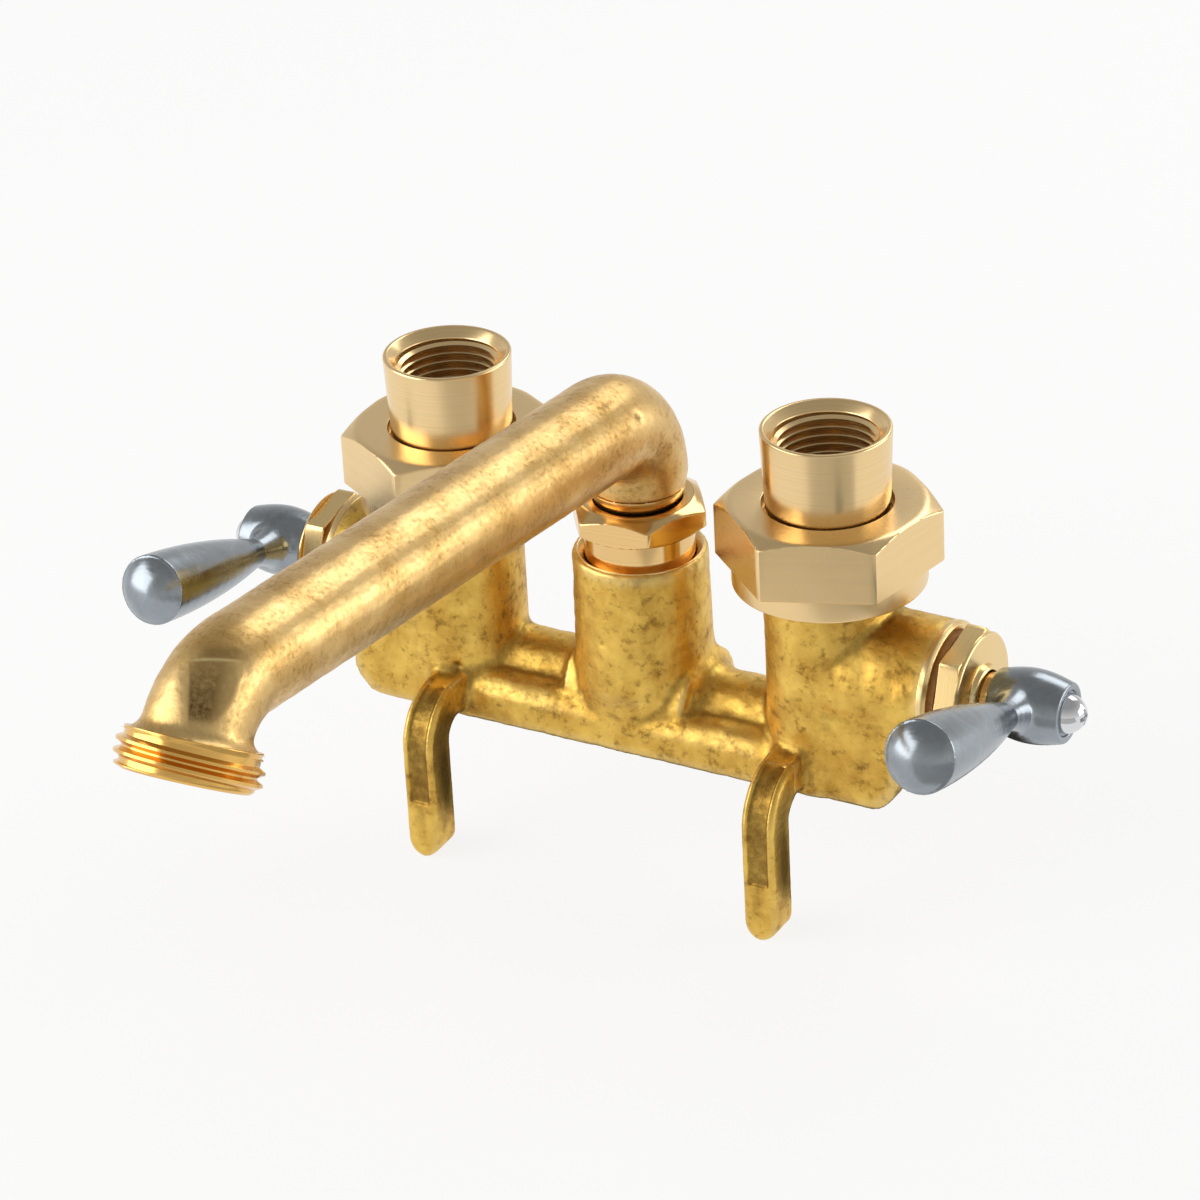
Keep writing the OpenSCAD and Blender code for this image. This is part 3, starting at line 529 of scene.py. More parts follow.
def cast_finish(name, tint, shade, patch_mm, speck_mm, speckle, rough, grit, panel=False):
    """Cast brass: a mottled skin, brown specks and hollows, edges rubbed bright, and a sandy gloss; with a
    panel, painted shade on it and a painted highlight on its upper lip.
    """
    material, tree, shader = blank(name)
    place = add(tree, "ShaderNodeTexCoord").outputs["Object"]
    cloud = add(
        tree, "ShaderNodeTexNoise",
        {"Vector": place, "Scale": per_mm(patch_mm), "Detail": 6.0, "Roughness": 0.62, "Distortion": 0.3},
    )
    patch = add(tree, "ShaderNodeMapRange", {"Value": cloud, "From Min": 0.36, "From Max": 0.7})
    speck = add(
        tree, "ShaderNodeTexNoise",
        {"Vector": place, "Scale": per_mm(speck_mm), "Detail": 4.0, "Roughness": 0.66},
    )
    # The specks gather where the skin is shaded, and break up the edges of the stained hollows
    drift = add(tree, "ShaderNodeMapRange", {**MID, "Value": cloud, "To Min": -0.09, "To Max": 0.1})
    gathered = add(tree, "ShaderNodeMath", {0: speck, 1: drift}, operation="ADD")
    spots = add(
        tree, "ShaderNodeMapRange", {"Value": gathered, "From Min": 0.54, "From Max": 0.74, "To Max": speckle}
    )
    bend = add(tree, "ShaderNodeAttribute", attribute_name="bend").outputs["Fac"]
    broken = add(tree, "ShaderNodeMath", {0: speck, 1: 1.2, 2: bend}, operation="MULTIPLY_ADD")
    hollow = add(tree, "ShaderNodeMapRange", {"Value": broken, "From Min": 0.8, "From Max": 1.7, "To Max": 0.8})
    dirt_and_shade = add(tree, "ShaderNodeMath", {0: spots, 1: hollow}, operation="MAXIMUM")
    ridge = add(
        tree, "ShaderNodeMapRange", {"Value": bend, "From Min": -0.35, "From Max": -1.0, "To Max": 0.35}
    )
    if panel:
        # The spout's flat panel gets painted shade on it and above it, and a painted highlight along its upper
        # lip
        stain_and_shade, lip = panel_shade_and_highlight(tree, place, speck)
        dirt_and_shade = add(tree, "ShaderNodeMath", {0: dirt_and_shade, 1: stain_and_shade}, operation="MAXIMUM")
        ridge = add(tree, "ShaderNodeMath", {0: ridge, 1: lip}, operation="MAXIMUM")
    skin = opaque(tint)
    # The stain colour covers real specks and hollows, and painted shade on the panel and the legs; the bright
    # colour covers rubbed edges and the panel's painted highlight
    for share, coat in ((patch, shade), (dirt_and_shade, colours().cast_stain_and_shade), (ridge, colours().cast_bright)):
        skin = add(tree, "ShaderNodeMix", {0: share, 6: skin, 7: opaque(coat)}, data_type="RGBA").outputs[2]
    gloss = add(
        tree, "ShaderNodeMapRange",
        {"Value": gathered, "From Min": 0.4, "From Max": 0.7, "To Min": rough, "To Max": rough + 0.16},
    )
    # Sand grains of about half a millimetre, drawn at 0.8 mm so that they show
    grain = add(
        tree, "ShaderNodeTexNoise", {"Vector": place, "Scale": per_mm(0.8), "Detail": 3.0, "Roughness": 0.7}
    )
    bump = add(tree, "ShaderNodeBump", {"Strength": grit, "Distance": 0.12 * MM, "Height": grain})
    plug(tree, shader, {"Base Color": skin, "Roughness": gloss, "Normal": bump, "Metallic": 1.0})
    return material


def turned_finish(name, tint, axis, rough, line_mm, mark):
    """Machined brass: close lathe lines round the axis that stretch the lights into bands."""
    material, tree, shader = blank(name)
    place = add(tree, "ShaderNodeTexCoord").outputs["Object"]
    along = add(tree, "ShaderNodeSeparateXYZ", {"Vector": place}).outputs[axis]
    # Tool marks of about a tenth of a millimetre, drawn coarser so that they show
    lines = add(
        tree, "ShaderNodeTexNoise", {"W": along, "Scale": per_mm(line_mm), "Detail": 3.0, "Roughness": 0.7},
        noise_dimensions="1D",
    )
    skin = toned(tree, tint, lines, 1 - 0.12 * mark, 1 + 0.05 * mark)
    cloud = add(tree, "ShaderNodeTexNoise", {"Vector": place, "Scale": per_mm(14), "Detail": 3.0})
    gloss = add(tree, "ShaderNodeMapRange", {**MID, "Value": cloud, "To Min": rough, "To Max": rough * 1.35})
    bump = add(tree, "ShaderNodeBump", {"Strength": 0.14 * mark, "Distance": 0.03 * MM, "Height": lines})
    plug(tree, shader, {"Base Color": skin, "Roughness": gloss, "Normal": bump, "Metallic": 1.0})
    return material


def die_cast_zinc(c):
    """Die-cast zinc, tumbled: a blue-grey satin with faint flow marks."""
    material, tree, shader = blank("die_cast_zinc")
    place = add(tree, "ShaderNodeTexCoord").outputs["Object"]
    flow = add(
        tree, "ShaderNodeTexNoise",
        {"Vector": place, "Scale": per_mm(6), "Detail": 5.0, "Roughness": 0.6, "Distortion": 1.2},
    )
    skin = toned(tree, c.zinc, flow, 0.82, 1.05)
    gloss = add(tree, "ShaderNodeMapRange", {**MID, "Value": flow, "To Min": 0.2, "To Max": 0.3})
    # The grain is finer in truth, and drawn at 0.8 mm so that it shows
    grain = add(tree, "ShaderNodeTexNoise", {"Vector": place, "Scale": per_mm(0.8), "Detail": 3.0})
    bump = add(tree, "ShaderNodeBump", {"Strength": 0.1, "Distance": 0.05 * MM, "Height": grain})
    plug(tree, shader, {"Base Color": skin, "Roughness": gloss, "Normal": bump, "Metallic": 1.0})
    return material


def plated_chrome(c):
    """Bright chrome plate over steel: a near mirror with a breath of haze."""
    material, tree, shader = blank("plated_chrome")
    place = add(tree, "ShaderNodeTexCoord").outputs["Object"]
    haze = add(tree, "ShaderNodeTexNoise", {"Vector": place, "Scale": per_mm(2), "Detail": 4.0})
    gloss = add(tree, "ShaderNodeMapRange", {**MID, "Value": haze, "To Min": 0.06, "To Max": 0.14})
    plug(tree, shader, {"Base Color": opaque(c.chrome), "Roughness": gloss, "Metallic": 1.0})
    return material


def matt_finish(name, tint, rough, ior, grain_mm):
    """A dull sealing material with an even grain, drawn coarser than it is so that it shows."""
    material, tree, shader = blank(name)
    place = add(tree, "ShaderNodeTexCoord").outputs["Object"]
    grain = add(tree, "ShaderNodeTexNoise", {"Vector": place, "Scale": per_mm(grain_mm), "Detail": 4.0})
    skin = toned(tree, tint, grain, 0.75, 1.1)
    bump = add(tree, "ShaderNodeBump", {"Strength": 0.2, "Distance": 0.05 * MM, "Height": grain})
    plug(tree, shader, {"Base Color": skin, "Normal": bump, "Roughness": rough, "IOR": ior})
    return material


FINISHES = {
    # Sand-cast and left raw: yellow patches and brown specks that only glimmer
    "cast": lambda c: cast_finish(
        "sand_cast_brass", c.cast, c.cast_shade,
        patch_mm=9, speck_mm=2.0, speckle=0.66, rough=0.38, grit=0.6,
    ),
    # Cast and tumbled: paler and smoother, with soft streaks of light, small specks, and painted shade and a
    # painted highlight on its flat panel
    "spout": lambda c: cast_finish(
        "tumbled_brass", c.spout, c.spout_shade,
        patch_mm=12, speck_mm=1.0, speckle=0.4, rough=0.32, grit=0.35, panel=True,
    ),
    # Turned: light runs up and down in bands across fine rings
    "turned": lambda c: turned_finish("turned_brass", c.turned, "Z", rough=0.2, line_mm=0.5, mark=0.5),
    # Milled: flats with an even satin and hardly a line
    "milled": lambda c: turned_finish("milled_brass", c.turned, "Z", rough=0.24, line_mm=1.6, mark=0.2),
    # Polished: deep gold with sharp reflections
    "polished": lambda c: turned_finish("polished_brass", c.polished, "Z", rough=0.13, line_mm=0.6, mark=0.5),
    # Cut on a thread lathe: orange glints between bright crests
    "thread": lambda c: turned_finish("thread_cut_brass", c.thread, "Z", rough=0.16, line_mm=0.6, mark=0.5),
    # Faced across the stem: pale, with rings round the stem
    "bonnet": lambda c: turned_finish("faced_brass", c.bonnet, "X", rough=0.22, line_mm=0.5, mark=0.4),
    "zinc": die_cast_zinc,
    "chrome": plated_chrome,
    # Vulcanised fibre: brown, dry and papery
    "fibre": lambda c: matt_finish("vulcanised_fibre", c.fibre, rough=0.7, ior=1.5, grain_mm=0.9),
    # Moulded rubber: near black and dull
    "rubber": lambda c: matt_finish("moulded_rubber", c.rubber, rough=0.75, ior=1.52, grain_mm=0.7),
    # Moulded nylon: milky with a soft sheen
    "nylon": lambda c: matt_finish("moulded_nylon", c.nylon, rough=0.55, ior=1.53, grain_mm=1.2),
}
made = {}


def finish(name):
    """The material of that finish, made once."""
    if name not in made:
        made[name] = FINISHES[name](colours())
    return made[name]


# Screw threads


def thread_tree():
    """Geometry nodes that sweep a flat-topped ridge along a helix and fade it out at both ends."""
    tree = bpy.data.node_groups.new("screw_thread", "GeometryNodeTree")
    for name in ("Radius", "Pitch", "Turns", "Depth", "Base", "Crest", "Start", "Material"):
        kind = "NodeSocketMaterial" if name == "Material" else "NodeSocketFloat"
        tree.interface.new_socket(name, in_out="INPUT", socket_type=kind)
    tree.interface.new_socket("Geometry", in_out="OUTPUT", socket_type="NodeSocketGeometry")
    given = add(tree, "NodeGroupInput").outputs
    height = add(tree, "ShaderNodeMath", {0: given["Pitch"], 1: given["Turns"]}, operation="MULTIPLY")
    path = add(
        tree, "GeometryNodeCurveSpiral",
        {"Resolution": 72, "Rotations": given["Turns"], "Start Radius": given["Radius"],
         "End Radius": given["Radius"], "Height": height},
    )
    level = add(tree, "GeometryNodeSetCurveNormal", {"Curve": path}, mode="Z_UP")
    corners = []
    for across, width, share in (
        ("", "Base", 0.5), ("Depth", "Crest", 0.5), ("Depth", "Crest", -0.5), ("", "Base", -0.5),
    ):
        half = add(tree, "ShaderNodeMath", {0: given[width], 1: share}, operation="MULTIPLY")
        values = {"Y": half, "X": given[across]} if across else {"Y": half}
        corners.append(add(tree, "ShaderNodeCombineXYZ", values))
    ridge = add(
        tree, "GeometryNodeCurvePrimitiveQuadrilateral",
        {f"Point {i + 1}": corner for i, corner in enumerate(corners)}, mode="POINTS",
    )
    done = add(tree, "GeometryNodeSplineParameter").outputs["Factor"]
    left_over = add(tree, "ShaderNodeMath", {0: 1.0, 1: done}, operation="SUBTRACT")
    near = add(tree, "ShaderNodeMath", {0: done, 1: left_over}, operation="MINIMUM")
    turns = add(tree, "ShaderNodeMath", {0: near, 1: given["Turns"]}, operation="MULTIPLY")
    fade = add(tree, "ShaderNodeMapRange", {"Value": turns, "From Max": 0.3, "To Min": 0.06})
    sweep = add(
        tree, "GeometryNodeCurveToMesh",
        {"Curve": level, "Profile Curve": ridge, "Scale": fade, "Fill Caps": True},
    )
    shift = add(tree, "ShaderNodeCombineXYZ", {"Z": given["Start"]})
    moved = add(tree, "GeometryNodeTransform", {"Geometry": sweep, "Translation": shift})
    real = add(tree, "GeometryNodeRealizeInstances", {"Geometry": moved})
    coat = add(tree, "GeometryNodeSetMaterial", {"Geometry": real, "Material": given["Material"]})
    add(tree, "NodeGroupOutput", {"Geometry": coat})
    return tree


def thread(radius, pitch, turns, depth, start, material):
    """A plain mesh of one screw thread about its own Z, in metres; depth is towards the axis."""
    tree = bpy.data.node_groups.get("screw_thread") or thread_tree()
    holder = placed("thread_holder", bpy.data.meshes.new("thread"))
    nodes = holder.modifiers.new("thread", "NODES")
    nodes.node_group = tree
    given = {
        "Radius": radius, "Pitch": pitch, "Turns": turns, "Depth": depth, "Base": pitch * 0.86,
        "Crest": pitch * 0.24, "Start": start, "Material": material,
    }
    for socket in tree.interface.items_tree:
        if socket.in_out == "INPUT":
            nodes[socket.identifier] = given[socket.name]
    return solid([applied(holder)])


# Stage


def lay_floor(stage, height):
    """White paper sweep: dull and even; seen directly or mirrored it is lifted towards plain white."""
    half, lift = 4.0, 0.82
    corners = [(-half, -half), (half, -half), (half, half), (-half, half)]
    mesh = bpy.data.meshes.new("floor")
    mesh.from_pydata([(x, y, height) for x, y in corners], [], [(0, 1, 2, 3)])
    paper, tree, shader = blank("paper_sweep")
    plug(tree, shader, {"Base Color": opaque(stage.paper), "Roughness": 0.9, "Specular IOR Level": 0.1})
    rays = add(tree, "ShaderNodeLightPath").outputs
    seen = rays["Is Camera Ray"]
    for kind in ("Is Glossy Ray", "Is Transmission Ray"):
        seen = add(tree, "ShaderNodeMath", {0: seen, 1: rays[kind]}, operation="MAXIMUM")
    share = add(tree, "ShaderNodeMath", {0: seen, 1: lift}, operation="MULTIPLY")
    glow = add(tree, "ShaderNodeEmission", {"Color": (1, 1, 1, 1), "Strength": 1.0})
    both = add(tree, "ShaderNodeMixShader", {0: share, 1: shader, 2: glow})
    plug(tree, tree.get_output_node("ALL"), {"Surface": both})
    mesh.materials.append(paper)
    placed("floor", mesh)


def light_room(stage):
    """A room that is lightest level with the faucet and darker overhead."""
    world = bpy.data.worlds.new("studio_room")
    bpy.context.scene.world = world
    world.use_nodes = True
    tree = world.node_tree
    tree.nodes.clear()
    view = add(tree, "ShaderNodeTexCoord").outputs["Generated"]
    height = add(tree, "ShaderNodeSeparateXYZ", {"Vector": view}).outputs["Z"]
    level = add(
        tree, "ShaderNodeMapRange",
        {"Value": height, "From Min": 0.1, "From Max": 0.8, "To Min": stage.sky, "To Max": 0.5 * stage.sky},
    )
    room = add(tree, "ShaderNodeBackground", {"Color": (1, 0.985, 0.96, 1), "Strength": level})
    add(tree, "ShaderNodeOutputWorld", {"Surface": room})


def lay_cards(stage, height):
    """Dull cards on the floor that only mirrored rays meet: painted shade and a painted shadow, seen as darker
    places in the metal.
    """
    towards = Vector((math.sin(stage.camera_turn), -math.cos(stage.camera_turn), 0))
    aside = Vector((math.cos(stage.camera_turn), math.sin(stage.camera_turn), 0))
    rise = Vector((0, 0, height))
    # The grey one lies before the camera and paints shade into what faces it; the dark one is a painted shadow
    # under the body that darkens the sides of the legs
    spread = [(0.125, 0.02), (0.125, 0.15), (1.3, 0.95), (1.3, -1.7), (0.27, -0.2)]
    under = [(-0.055, -0.012), (0.075, -0.012), (0.075, 0.05), (-0.055, 0.05)]
    for name, shade, corners in (
        ("painted_shade_card", stage.card, [towards * t + aside * w + rise for t, w in spread]),
        ("painted_shadow_card", stage.painted_shadow_card, [Vector((x, y, 0)) + rise for x, y in under]),
    ):
        mesh = bpy.data.meshes.new(name)
        mesh.from_pydata(corners, [], [range(len(corners))])
        paint, tree, shader = blank(name)
        plug(tree, shader, {"Base Color": opaque(shade), "Roughness": 1.0})
        mesh.materials.append(paint)
        card = placed(name, mesh)
        card.visible_camera = card.visible_diffuse = card.visible_shadow = card.visible_transmission = False


def hang_boxes(stage):
    """Soft boxes that face the faucet: name, place, width, height and level."""
    aim = Vector((0, -0.05, 0.05))
    for name, place, wide, tall, level in (
        ("left_box", (-0.7, -0.62, 0.4), 1.0, 0.8, 2.5),
        ("right_box", (0.84, 0.45, 0.2), 0.9, 0.4, 2.6),
        ("back_box", (0.06, 0.81, 0.74), 0.64, 0.5, 2.4),
    ):
        lamp = bpy.data.lights.new(name, "AREA")
        lamp.shape = "RECTANGLE"
        lamp.size, lamp.size_y = wide, tall
        lamp.energy = stage.box_light * level * math.pi * wide * tall
        box = placed(name, lamp)
        box.location = place
        box.rotation_euler = (aim - Vector(place)).to_track_quat("-Z", "Y").to_euler()


def set_camera(stage):
    """The camera that was fitted to the photograph."""
    target = Vector((0, 0, 0.0203))
    turn, rise, roll = stage.camera_turn, stage.camera_rise, stage.camera_roll
    back = Vector((math.sin(turn) * math.cos(rise), -math.cos(turn) * math.cos(rise), math.sin(rise)))
    right = Vector((math.cos(turn), math.sin(turn), 0))
    up = back.cross(right)
    across = math.cos(roll) * right + math.sin(roll) * up
    above = math.cos(roll) * up - math.sin(roll) * right
    spot = target + back * stage.camera_distance + across * stage.camera_side + above * stage.camera_up
    camera = placed("camera", bpy.data.cameras.new("camera"))
    camera.data.lens = stage.camera_lens
    camera.data.sensor_width = 36
    camera.matrix_world = Matrix.Translation(spot) @ Matrix((across, above, back)).transposed().to_4x4()
    bpy.context.scene.camera = camera


# Operators; outlines are radius and height in millimetres


class FAUCET_OT_stage(bpy.types.Operator):
    """Lay the floor, set the soft boxes and place the camera"""

    bl_idname = "faucet.stage"
    bl_label = "Stage"

    def execute(self, context):
        stage = context.scene.faucet_stage
        floor_z = CAD_BOX[0][2] - 0.05 * MM
        lay_floor(stage, floor_z)
        light_room(stage)
        lay_cards(stage, floor_z + MM)
        hang_boxes(stage)
        set_camera(stage)
        context.scene.view_settings.view_transform = "Standard"
        return {"FINISHED"}


class FAUCET_OT_body(bpy.types.Operator):
    """Make the rough body casting with its machined port and post rims"""

    bl_idname = "faucet.body"
    bl_label = "Body casting"

    def execute(self, context):
        s = sizes()
        mesh = gridded(cut_away(copy_of("body_casting"), (0, BODY_FRONT * MM, 0), (0, -1, 0)), s.cast_grid)
        x, y, z = (points_of(mesh) / MM).T
        off = np.abs(x) - INLET / MM
        bore, port, post = np.hypot(off, y), np.hypot(y, z - STEM_HEIGHT / MM), np.hypot(x, y)
        # The bores keep their size, and no sand roughens them or the faces that seat other pieces
        supply_r, port_r, journal_r = 9, 11.5, 10
        supply_floor, port_floor, post_floor = 20, -12, 12
        bored = (bore < supply_r) & (z > supply_floor) | (port < port_r) & (off > port_floor)
        bored |= (post < journal_r) & (z > post_floor)
        collar_r, collar_foot, post_r, rim_r, rim_foot = 17.5, 43, 13, 14.2, 24.2
        seat_front, leg_roots = -13, -17
        machined = bored | (bore < collar_r) & (z > collar_foot) | (post < post_r) & (z > post_floor)
        machined |= (np.abs(z) < 0.4) & (y > seat_front)
        machined |= (port < rim_r) & (off > rim_foot) | (y < leg_roots)
        keep, loose = np.where(machined, 0.0, 1.0), np.where(bored, 0.0, 1.0)
        mesh = cast_skin(mesh, rounds=2, fillet=34, keep=keep, lumps=s.cast_lumps, pits=BODY_PITS, loose=loose)
        add_piece("body_cast_skin", mesh, "faucet_body", "cast", "cast_brass", "body_casting", sharp=180)
        legs = gridded(cut_away(copy_of("body_casting"), (0, LEG_BACK * MM, 0), (0, 1, 0)), s.leg_grid)
        # The tips narrow to a round end and are eased a little
        co = points_of(legs)
        tip = np.clip((TIP_START - co[:, 2] / MM) / TIP_LENGTH, 0, 1)
        along = np.sign(co[:, 0]) * LEG_X * MM
        co[:, 0] = along + (co[:, 0] - along) * np.sqrt(1 - TIP_NARROW * tip ** 2)
        set_points(legs, relaxed(co, edges_of(legs), 10, np.sqrt(tip)))
        legs = cast_skin(legs, rounds=3, fillet=60, keep=0.35, lumps=s.cast_lumps, pits=LEG_DARKENING)
        add_piece("legs_cast_skin", legs, "faucet_body", "cast", "cast_brass", sharp=180)
        hole, foot, face = 10.55, 24.7, 26.52
        rim = eased([(hole, foot), (13.56, foot), (13.6, 25.9), (12.9, face), (hole, face), (hole, foot)], 0.12)
        for side in SIDES:
            ring = lathe(rim[:-1], outboard(side))
            add_piece(f"{side}_port_rim", ring, "faucet_body", "bonnet", "cast_brass")
        hole, foot, face = 11.45, 40.2, 42.24
        lip = eased([(hole, foot), (12.8, foot), (13.0, face), (12.7, face), (hole, 40.98), (hole, foot)], 0.15)
        add_piece("post_rim", lathe(lip[:-1], Matrix()), "faucet_body", "turned", "cast_brass")
        return {"FINISHED"}


class FAUCET_OT_unions(bpy.types.Operator):
    """Make the union nuts and the threaded tailpieces"""

    bl_idname = "faucet.unions"
    bl_label = "Unions"

    def execute(self, context):
        s = sizes()
        low, high = heights("right_union_nut")
        bottom, top = heights("right_tailpiece")
        hexagon_low, hole, grip, skirt, flats = low + 4.6, 13.1, 16.8, 19.5, 39.6
        under_lip = high - 3.2
        bore, supply, flange, flange_top = 9.6, 7.5, 16.4, bottom + 3.4
        root = bore + s.pipe_depth / MM
        mouth = top - 2.6 + root - bore
        turns = (mouth - top + 16.8) / (s.pipe_pitch / MM)
        sleeve_rows = eased([
            (supply, bottom + 1), (supply, bottom), (flange, bottom), (flange, flange_top), (12.3, flange_top),
            (13.1, top - 0.3), (12.85, top), (12.2, top), (root, mouth), (root, top - 17.6),
            (supply, top - 18.6), (supply, bottom + 2),
        ])
        # Each nut stopped at its own angle when it was tightened
        for side, first in (("left", 30), ("right", 20)):
            rows = eased([(grip, low + 6), (grip, low), (skirt, low), (skirt, hexagon_low - 0.4)], 0.5)
            rows += [(skirt, hexagon_low)] + hex_rows(flats, first, hexagon_low, high, flats)
            rows += eased([(18.6, high), (hole, high), (hole, under_lip), (grip, under_lip), (grip, low + 8)])
            nut, node = lathe(rows, upright(side)), f"{side}_union_nut"
            add_piece(f"{side}_union_hex", nut, "faucet_body", "milled", "turned_brass", node, sharp=30)
            start = (top - 17.2) * MM
            ridge = thread((root + SUNK) * MM, s.pipe_pitch, turns, s.pipe_depth, start, finish("turned"))
            ridge.transform(upright(side))
            sleeve, node = lathe(sleeve_rows, upright(side)), f"{side}_tailpiece"
            add_piece(f"{side}_tail_sleeve", sleeve, "faucet_body", "turned", "turned_brass", node, sharp=30)
            add_piece(f"{side}_pipe_thread", ridge, "faucet_body", "turned", "turned_brass", sharp=25)
        return {"FINISHED"}


class FAUCET_OT_valves(bpy.types.Operator):
    """Make the hexagon bonnets that close the valve ports"""

    bl_idname = "faucet.valves"
    bl_label = "Valve bonnets"

    def execute(self, context):
        inner, out = (corner.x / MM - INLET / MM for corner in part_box("right_bonnet"))
        face = out - 1.4
        start = face - 5.2
        cup, shank, stem_hole, boss = 6.7, 10.4, 5.2, 12.6
        for side, first in (("left", 20), ("right", 40)):
            rows = eased([(cup, inner + 4), (cup, inner), (shank, inner), (shank, start)], 0.2)
            rows += hex_rows(23.2, first, start, face - 0.7, face_d=25.4)
            rows += eased([
                (boss, face - 0.66), (boss, face - 0.4), (12.2, face), (6.5, face), (6.3, face + 0.4),
                (6.2, out - 0.5), (5.5, out), (stem_hole, out - 0.2), (stem_hole, inner + 13),
                (cup, inner + 12), (cup, inner + 6),
            ], 0.3)
            mesh, node = lathe(rows, outboard(side)), f"{side}_bonnet"
            add_piece(f"{side}_bonnet_hex", mesh, "faucet_body", "bonnet", "polished_brass", node, sharp=30)
        return {"FINISHED"}


class FAUCET_OT_spout(bpy.types.Operator):
    """Make the cast spout, its turned journal and its threaded outlet"""

    bl_idname = "faucet.spout"
    bl_label = "Spout"

    def execute(self, context):
        s = sizes()
        lean = math.radians(32)
        axis = Vector((0, -math.sin(lean), -math.cos(lean)))
        outlet = Vector((0, -0.1621, 0.07331))
        long = 7
        root = outlet - axis * long * MM
        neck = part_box("spout_nut")[1].z + 2.6 * MM
        arm = cut_away(cut_away(copy_of("spout"), (0, 0, neck), (0, 0, -1)), root, axis)
        arm = gridded(arm, s.spout_grid)
        co = points_of(arm)
        keep = np.where(co[:, 2] < neck + 0.6 * MM, 0.0, 1.0)
        # The panel stays flat, with a little more round it than its own size
        off = co / MM - np.array(PANEL_MIDDLE)
        wide, high = (half + 0.6 for half in PANEL_HALF)
        inside = np.abs(off @ np.array(PANEL_OUT)) < 1.2
        inside &= np.abs(off @ np.array(PANEL_ALONG)) < high
        inside &= np.abs(off @ np.array(PANEL_OUT.cross(PANEL_ALONG))) < wide
        keep[inside] = 0
        loose = np.where(inside, 0.4, 1.0)
        arm = cast_skin(arm, rounds=2, fillet=16, keep=keep, lumps=s.spout_lumps, pits=SPOUT_PITS, loose=loose)
        add_piece("spout_cast_arm", arm, "spout_arm", "spout", "spout_brass", "spout", sharp=180)
        # The journal's hidden end stays clear of the rounded floor of its bore
        journal = cut_away(copy_of("spout"), (0, 0, neck + 0.1 * MM), (0, 0, 1))
        journal = cut_away(journal, (0, 0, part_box("spout")[0].z + 0.6 * MM), (0, 0, -1))
        add_piece("spout_journal", journal, "spout_arm", "turned", "polished_brass", sharp=30)
        place = Matrix.Translation(root) @ Matrix.Rotation(math.pi - lean, 4, "X")
        crest, waterway, washer_seat = 13.45, 6, 9.5
        core = crest - s.hose_depth / MM
        rows = eased([
            (waterway, 2), (waterway, -0.6), (core + 0.3, -0.6), (core, 0.3), (core, 6.4), (core - 0.7, long),
            (washer_seat, long), (washer_seat, 4), (waterway, 4), (waterway, 3),
        ])
        add_piece("hose_outlet", lathe(rows, place), "spout_arm", "thread", "polished_brass", sharp=30)
        turns, start = 2.75, 0.5 * MM
        ridge = thread((core - SUNK) * MM, s.hose_pitch, turns, -s.hose_depth, start, finish("thread"))
        ridge.transform(place)
        add_piece("hose_thread", ridge, "spout_arm", "thread", "polished_brass", sharp=25)
        return {"FINISHED"}


class FAUCET_OT_spout_nut(bpy.types.Operator):
    """Make the polished nut that holds the spout in its post"""

    bl_idname = "faucet.spout_nut"
    bl_label = "Spout nut"

    def execute(self, context):
        low, high = heights("spout_nut")
        start = high - 6.6
        hole, shank = 9.2, 11.3
        rows = eased([(hole, low + 3), (hole, low), (shank, low), (shank, start)], 0.3)
        rows += hex_rows(25.6, 6, start, high, face_d=23, low_chamfer=True)
        rows += eased([(shank, high), (10.5, high), (9.1, high - 0.3), (9.1, low + 5)], 0.2)
        mesh = lathe(rows, Matrix())
        add_piece("spout_hex", mesh, "faucet_body", "polished", "polished_brass", "spout_nut", sharp=30)
        return {"FINISHED"}


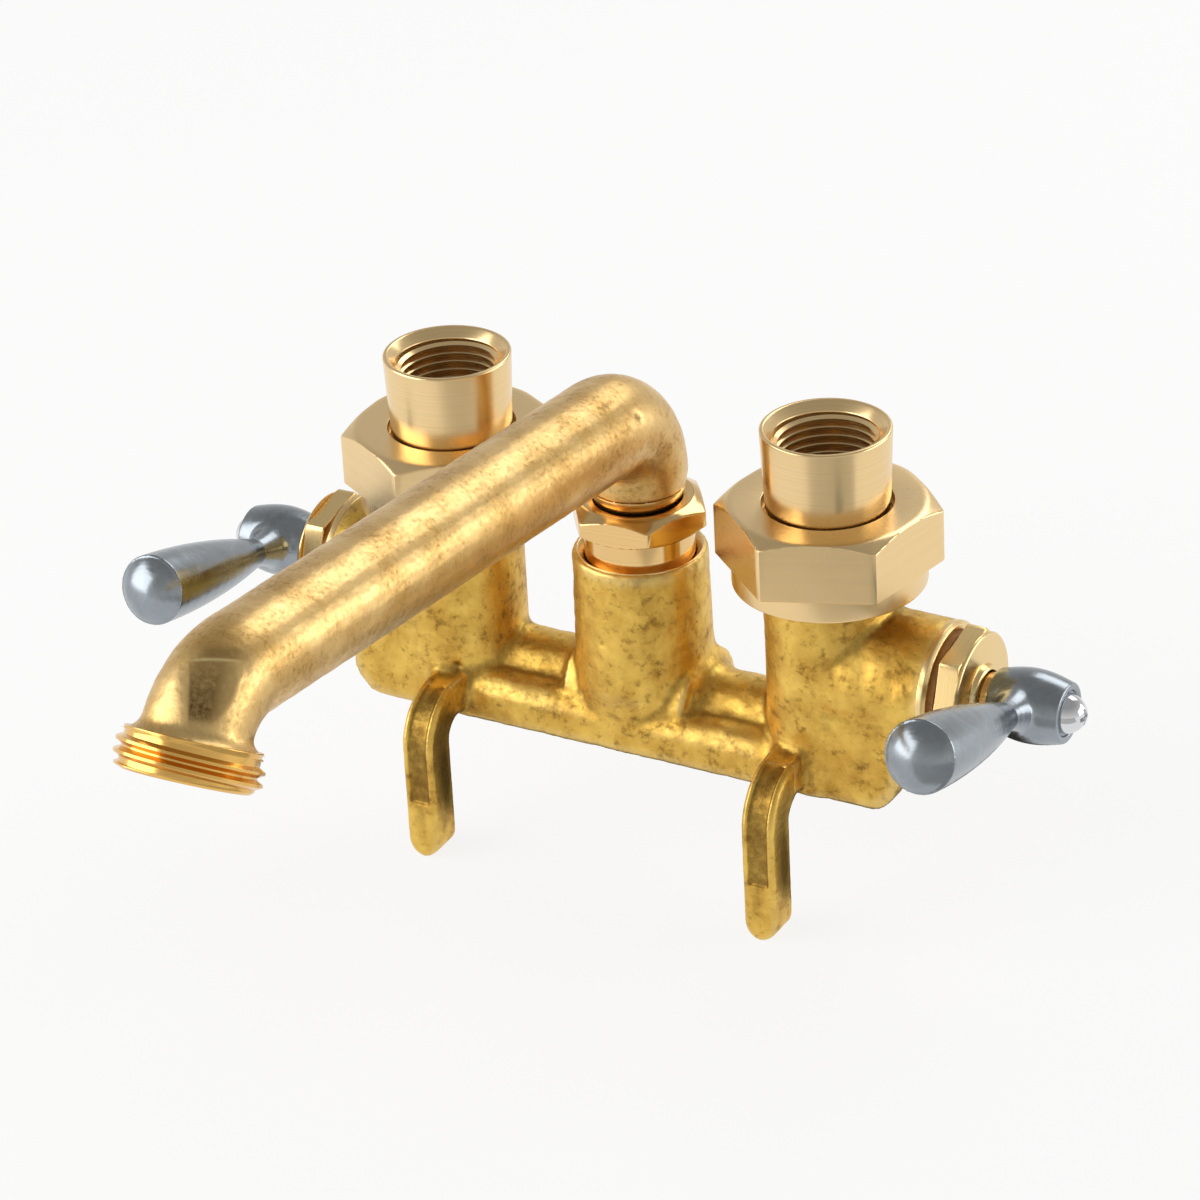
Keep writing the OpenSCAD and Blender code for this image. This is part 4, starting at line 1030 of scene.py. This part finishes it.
class FAUCET_OT_levers(bpy.types.Operator):
    """Make the smooth cast levers and their polished screws"""

    bl_idname = "faucet.levers"
    bl_label = "Lever handles"

    def execute(self, context):
        hub = 43.1 * MM
        swell = [
            (0, 4.8), (5.7, 4.8), (5.1, 5.6), (4.5, 6.6), (4.0, 7.8), (3.6, 9.2), (3.25, 10.8), (3.05, 12.2),
            (2.9, 13), (0, 13),
        ]
        for side, rest in (("left", 14), ("right", 16)):
            lean = math.radians(rest)
            # The root of the arm swells into the hub
            place = Matrix.Translation((SIDES[side] * (INLET + hub), 0, STEM_HEIGHT))
            place = place @ Matrix.Rotation(math.pi / 2 - lean, 4, "X")
            root = lathe(swell, place, closed=False)
            mesh = gridded(solid([copy_of(f"{side}_handle"), root]), sizes().lever_grid)
            x, y, z = (points_of(mesh) / MM).T
            reach = -y * math.cos(lean) + (z - STEM_HEIGHT / MM) * math.sin(lean)
            out = np.abs(x) - INLET / MM
            # Only the hollow between arm and hub is filled
            keep = np.where((reach > 4.6) & (reach < 18) & (out > 37.6) & (out < 49.4), 1.0, 0.0)
            mesh = cast_skin(mesh, rounds=3, fillet=160, keep=keep, lumps=0)
            body = f"{side}_lever"
            add_piece(f"{side}_lever", mesh, body, "zinc", "zinc", f"{side}_handle", sharp=180)
            # A domed screw with a cross slot
            node = f"{side}_handle_screw"
            near, far = sorted(abs(corner.x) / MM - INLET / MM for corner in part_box(node))
            seat, dome, head, shank = far - 4.4, 4.4, 4.1, 2
            slot_half, slot_reach, slot_depth = 0.42, 1.7, 1.1
            cross = np.minimum(np.abs(np.cos(angles())), np.abs(np.sin(angles())))
            rows = [(0, near), (shank, near), (shank, seat), (head - 0.1, seat), (head, seat + 0.15)]
            for r in (
                4.08, 4.02, 3.9, 3.7, 3.4, 3.0, 2.5, 2.1, 1.8, 1.6, 1.4, 1.2, 1.0, 0.8, 0.6, 0.45, 0.3, 0.0,
            ):
                crown = seat + dome * math.sqrt(max(0, 1 - (r / head) ** 2))
                slot = np.clip((slot_half - r * cross) / 0.08, 0, 1) * np.clip((slot_reach - r) / 0.2, 0, 1)
                rows.append((r, crown - slot_depth * slot))
            screw = lathe(rows, outboard(side), closed=False)
            add_piece(f"{side}_lever_screw", screw, body, "chrome", "chrome", node, sharp=35)
        return {"FINISHED"}


class FAUCET_OT_inner(bpy.types.Operator):
    """Give the seats, stems, washers and rings inside their finishes"""

    bl_idname = "faucet.inner"
    bl_label = "Inner pieces"

    def execute(self, context):
        kinds = {
            "seat": "polished", "stem": "polished", "washer_screw": "polished", "stem_o_ring": "rubber",
            "seat_washer": "rubber", "bonnet_gasket": "fibre", "union_washer": "fibre",
        }
        given = {f"{side}_{kind}": name for side in SIDES for kind, name in kinds.items()}
        given |= {"spout_retaining_ring": "polished", "spout_o_ring": "rubber"}
        given["spout_friction_washer"] = "nylon"
        for node, name in given.items():
            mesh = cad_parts[node].data
            mesh.materials.clear()
            mesh.materials.append(finish(name))
        return {"FINISHED"}


class FAUCET_PT_panel(bpy.types.Panel):
    """Lists the faucet's operators and settings"""

    bl_idname = "FAUCET_PT_panel"
    bl_label = "Tub faucet"
    bl_space_type = "VIEW_3D"
    bl_region_type = "UI"
    bl_category = "Faucet"

    def draw(self, context):
        for step in STEPS:
            self.layout.operator(step.bl_idname)
        for key, group in GROUPS.items():
            for name in group.__annotations__:
                self.layout.prop(getattr(context.scene, key), name)


STEPS = (
    FAUCET_OT_stage, FAUCET_OT_body, FAUCET_OT_unions, FAUCET_OT_valves, FAUCET_OT_spout,
    FAUCET_OT_spout_nut, FAUCET_OT_levers, FAUCET_OT_inner,
)
GROUPS = {"faucet_sizes": FaucetSizes, "faucet_colours": FaucetColours, "faucet_stage": FaucetStage}


def register():
    for cls in (*GROUPS.values(), *STEPS, FAUCET_PT_panel):
        bpy.utils.register_class(cls)
    for name, group in GROUPS.items():
        setattr(bpy.types.Scene, name, PointerProperty(type=group))


def unregister():
    for name in GROUPS:
        delattr(bpy.types.Scene, name)
    for cls in (FAUCET_PT_panel, *reversed(STEPS), *GROUPS.values()):
        bpy.utils.unregister_class(cls)


def main():
    register()
    bpy.ops.faucet.stage()
    bpy.ops.faucet.body()
    bpy.ops.faucet.unions()
    bpy.ops.faucet.valves()
    bpy.ops.faucet.spout()
    bpy.ops.faucet.spout_nut()
    bpy.ops.faucet.levers()
    bpy.ops.faucet.inner()


if __name__ == "__main__":
    main()
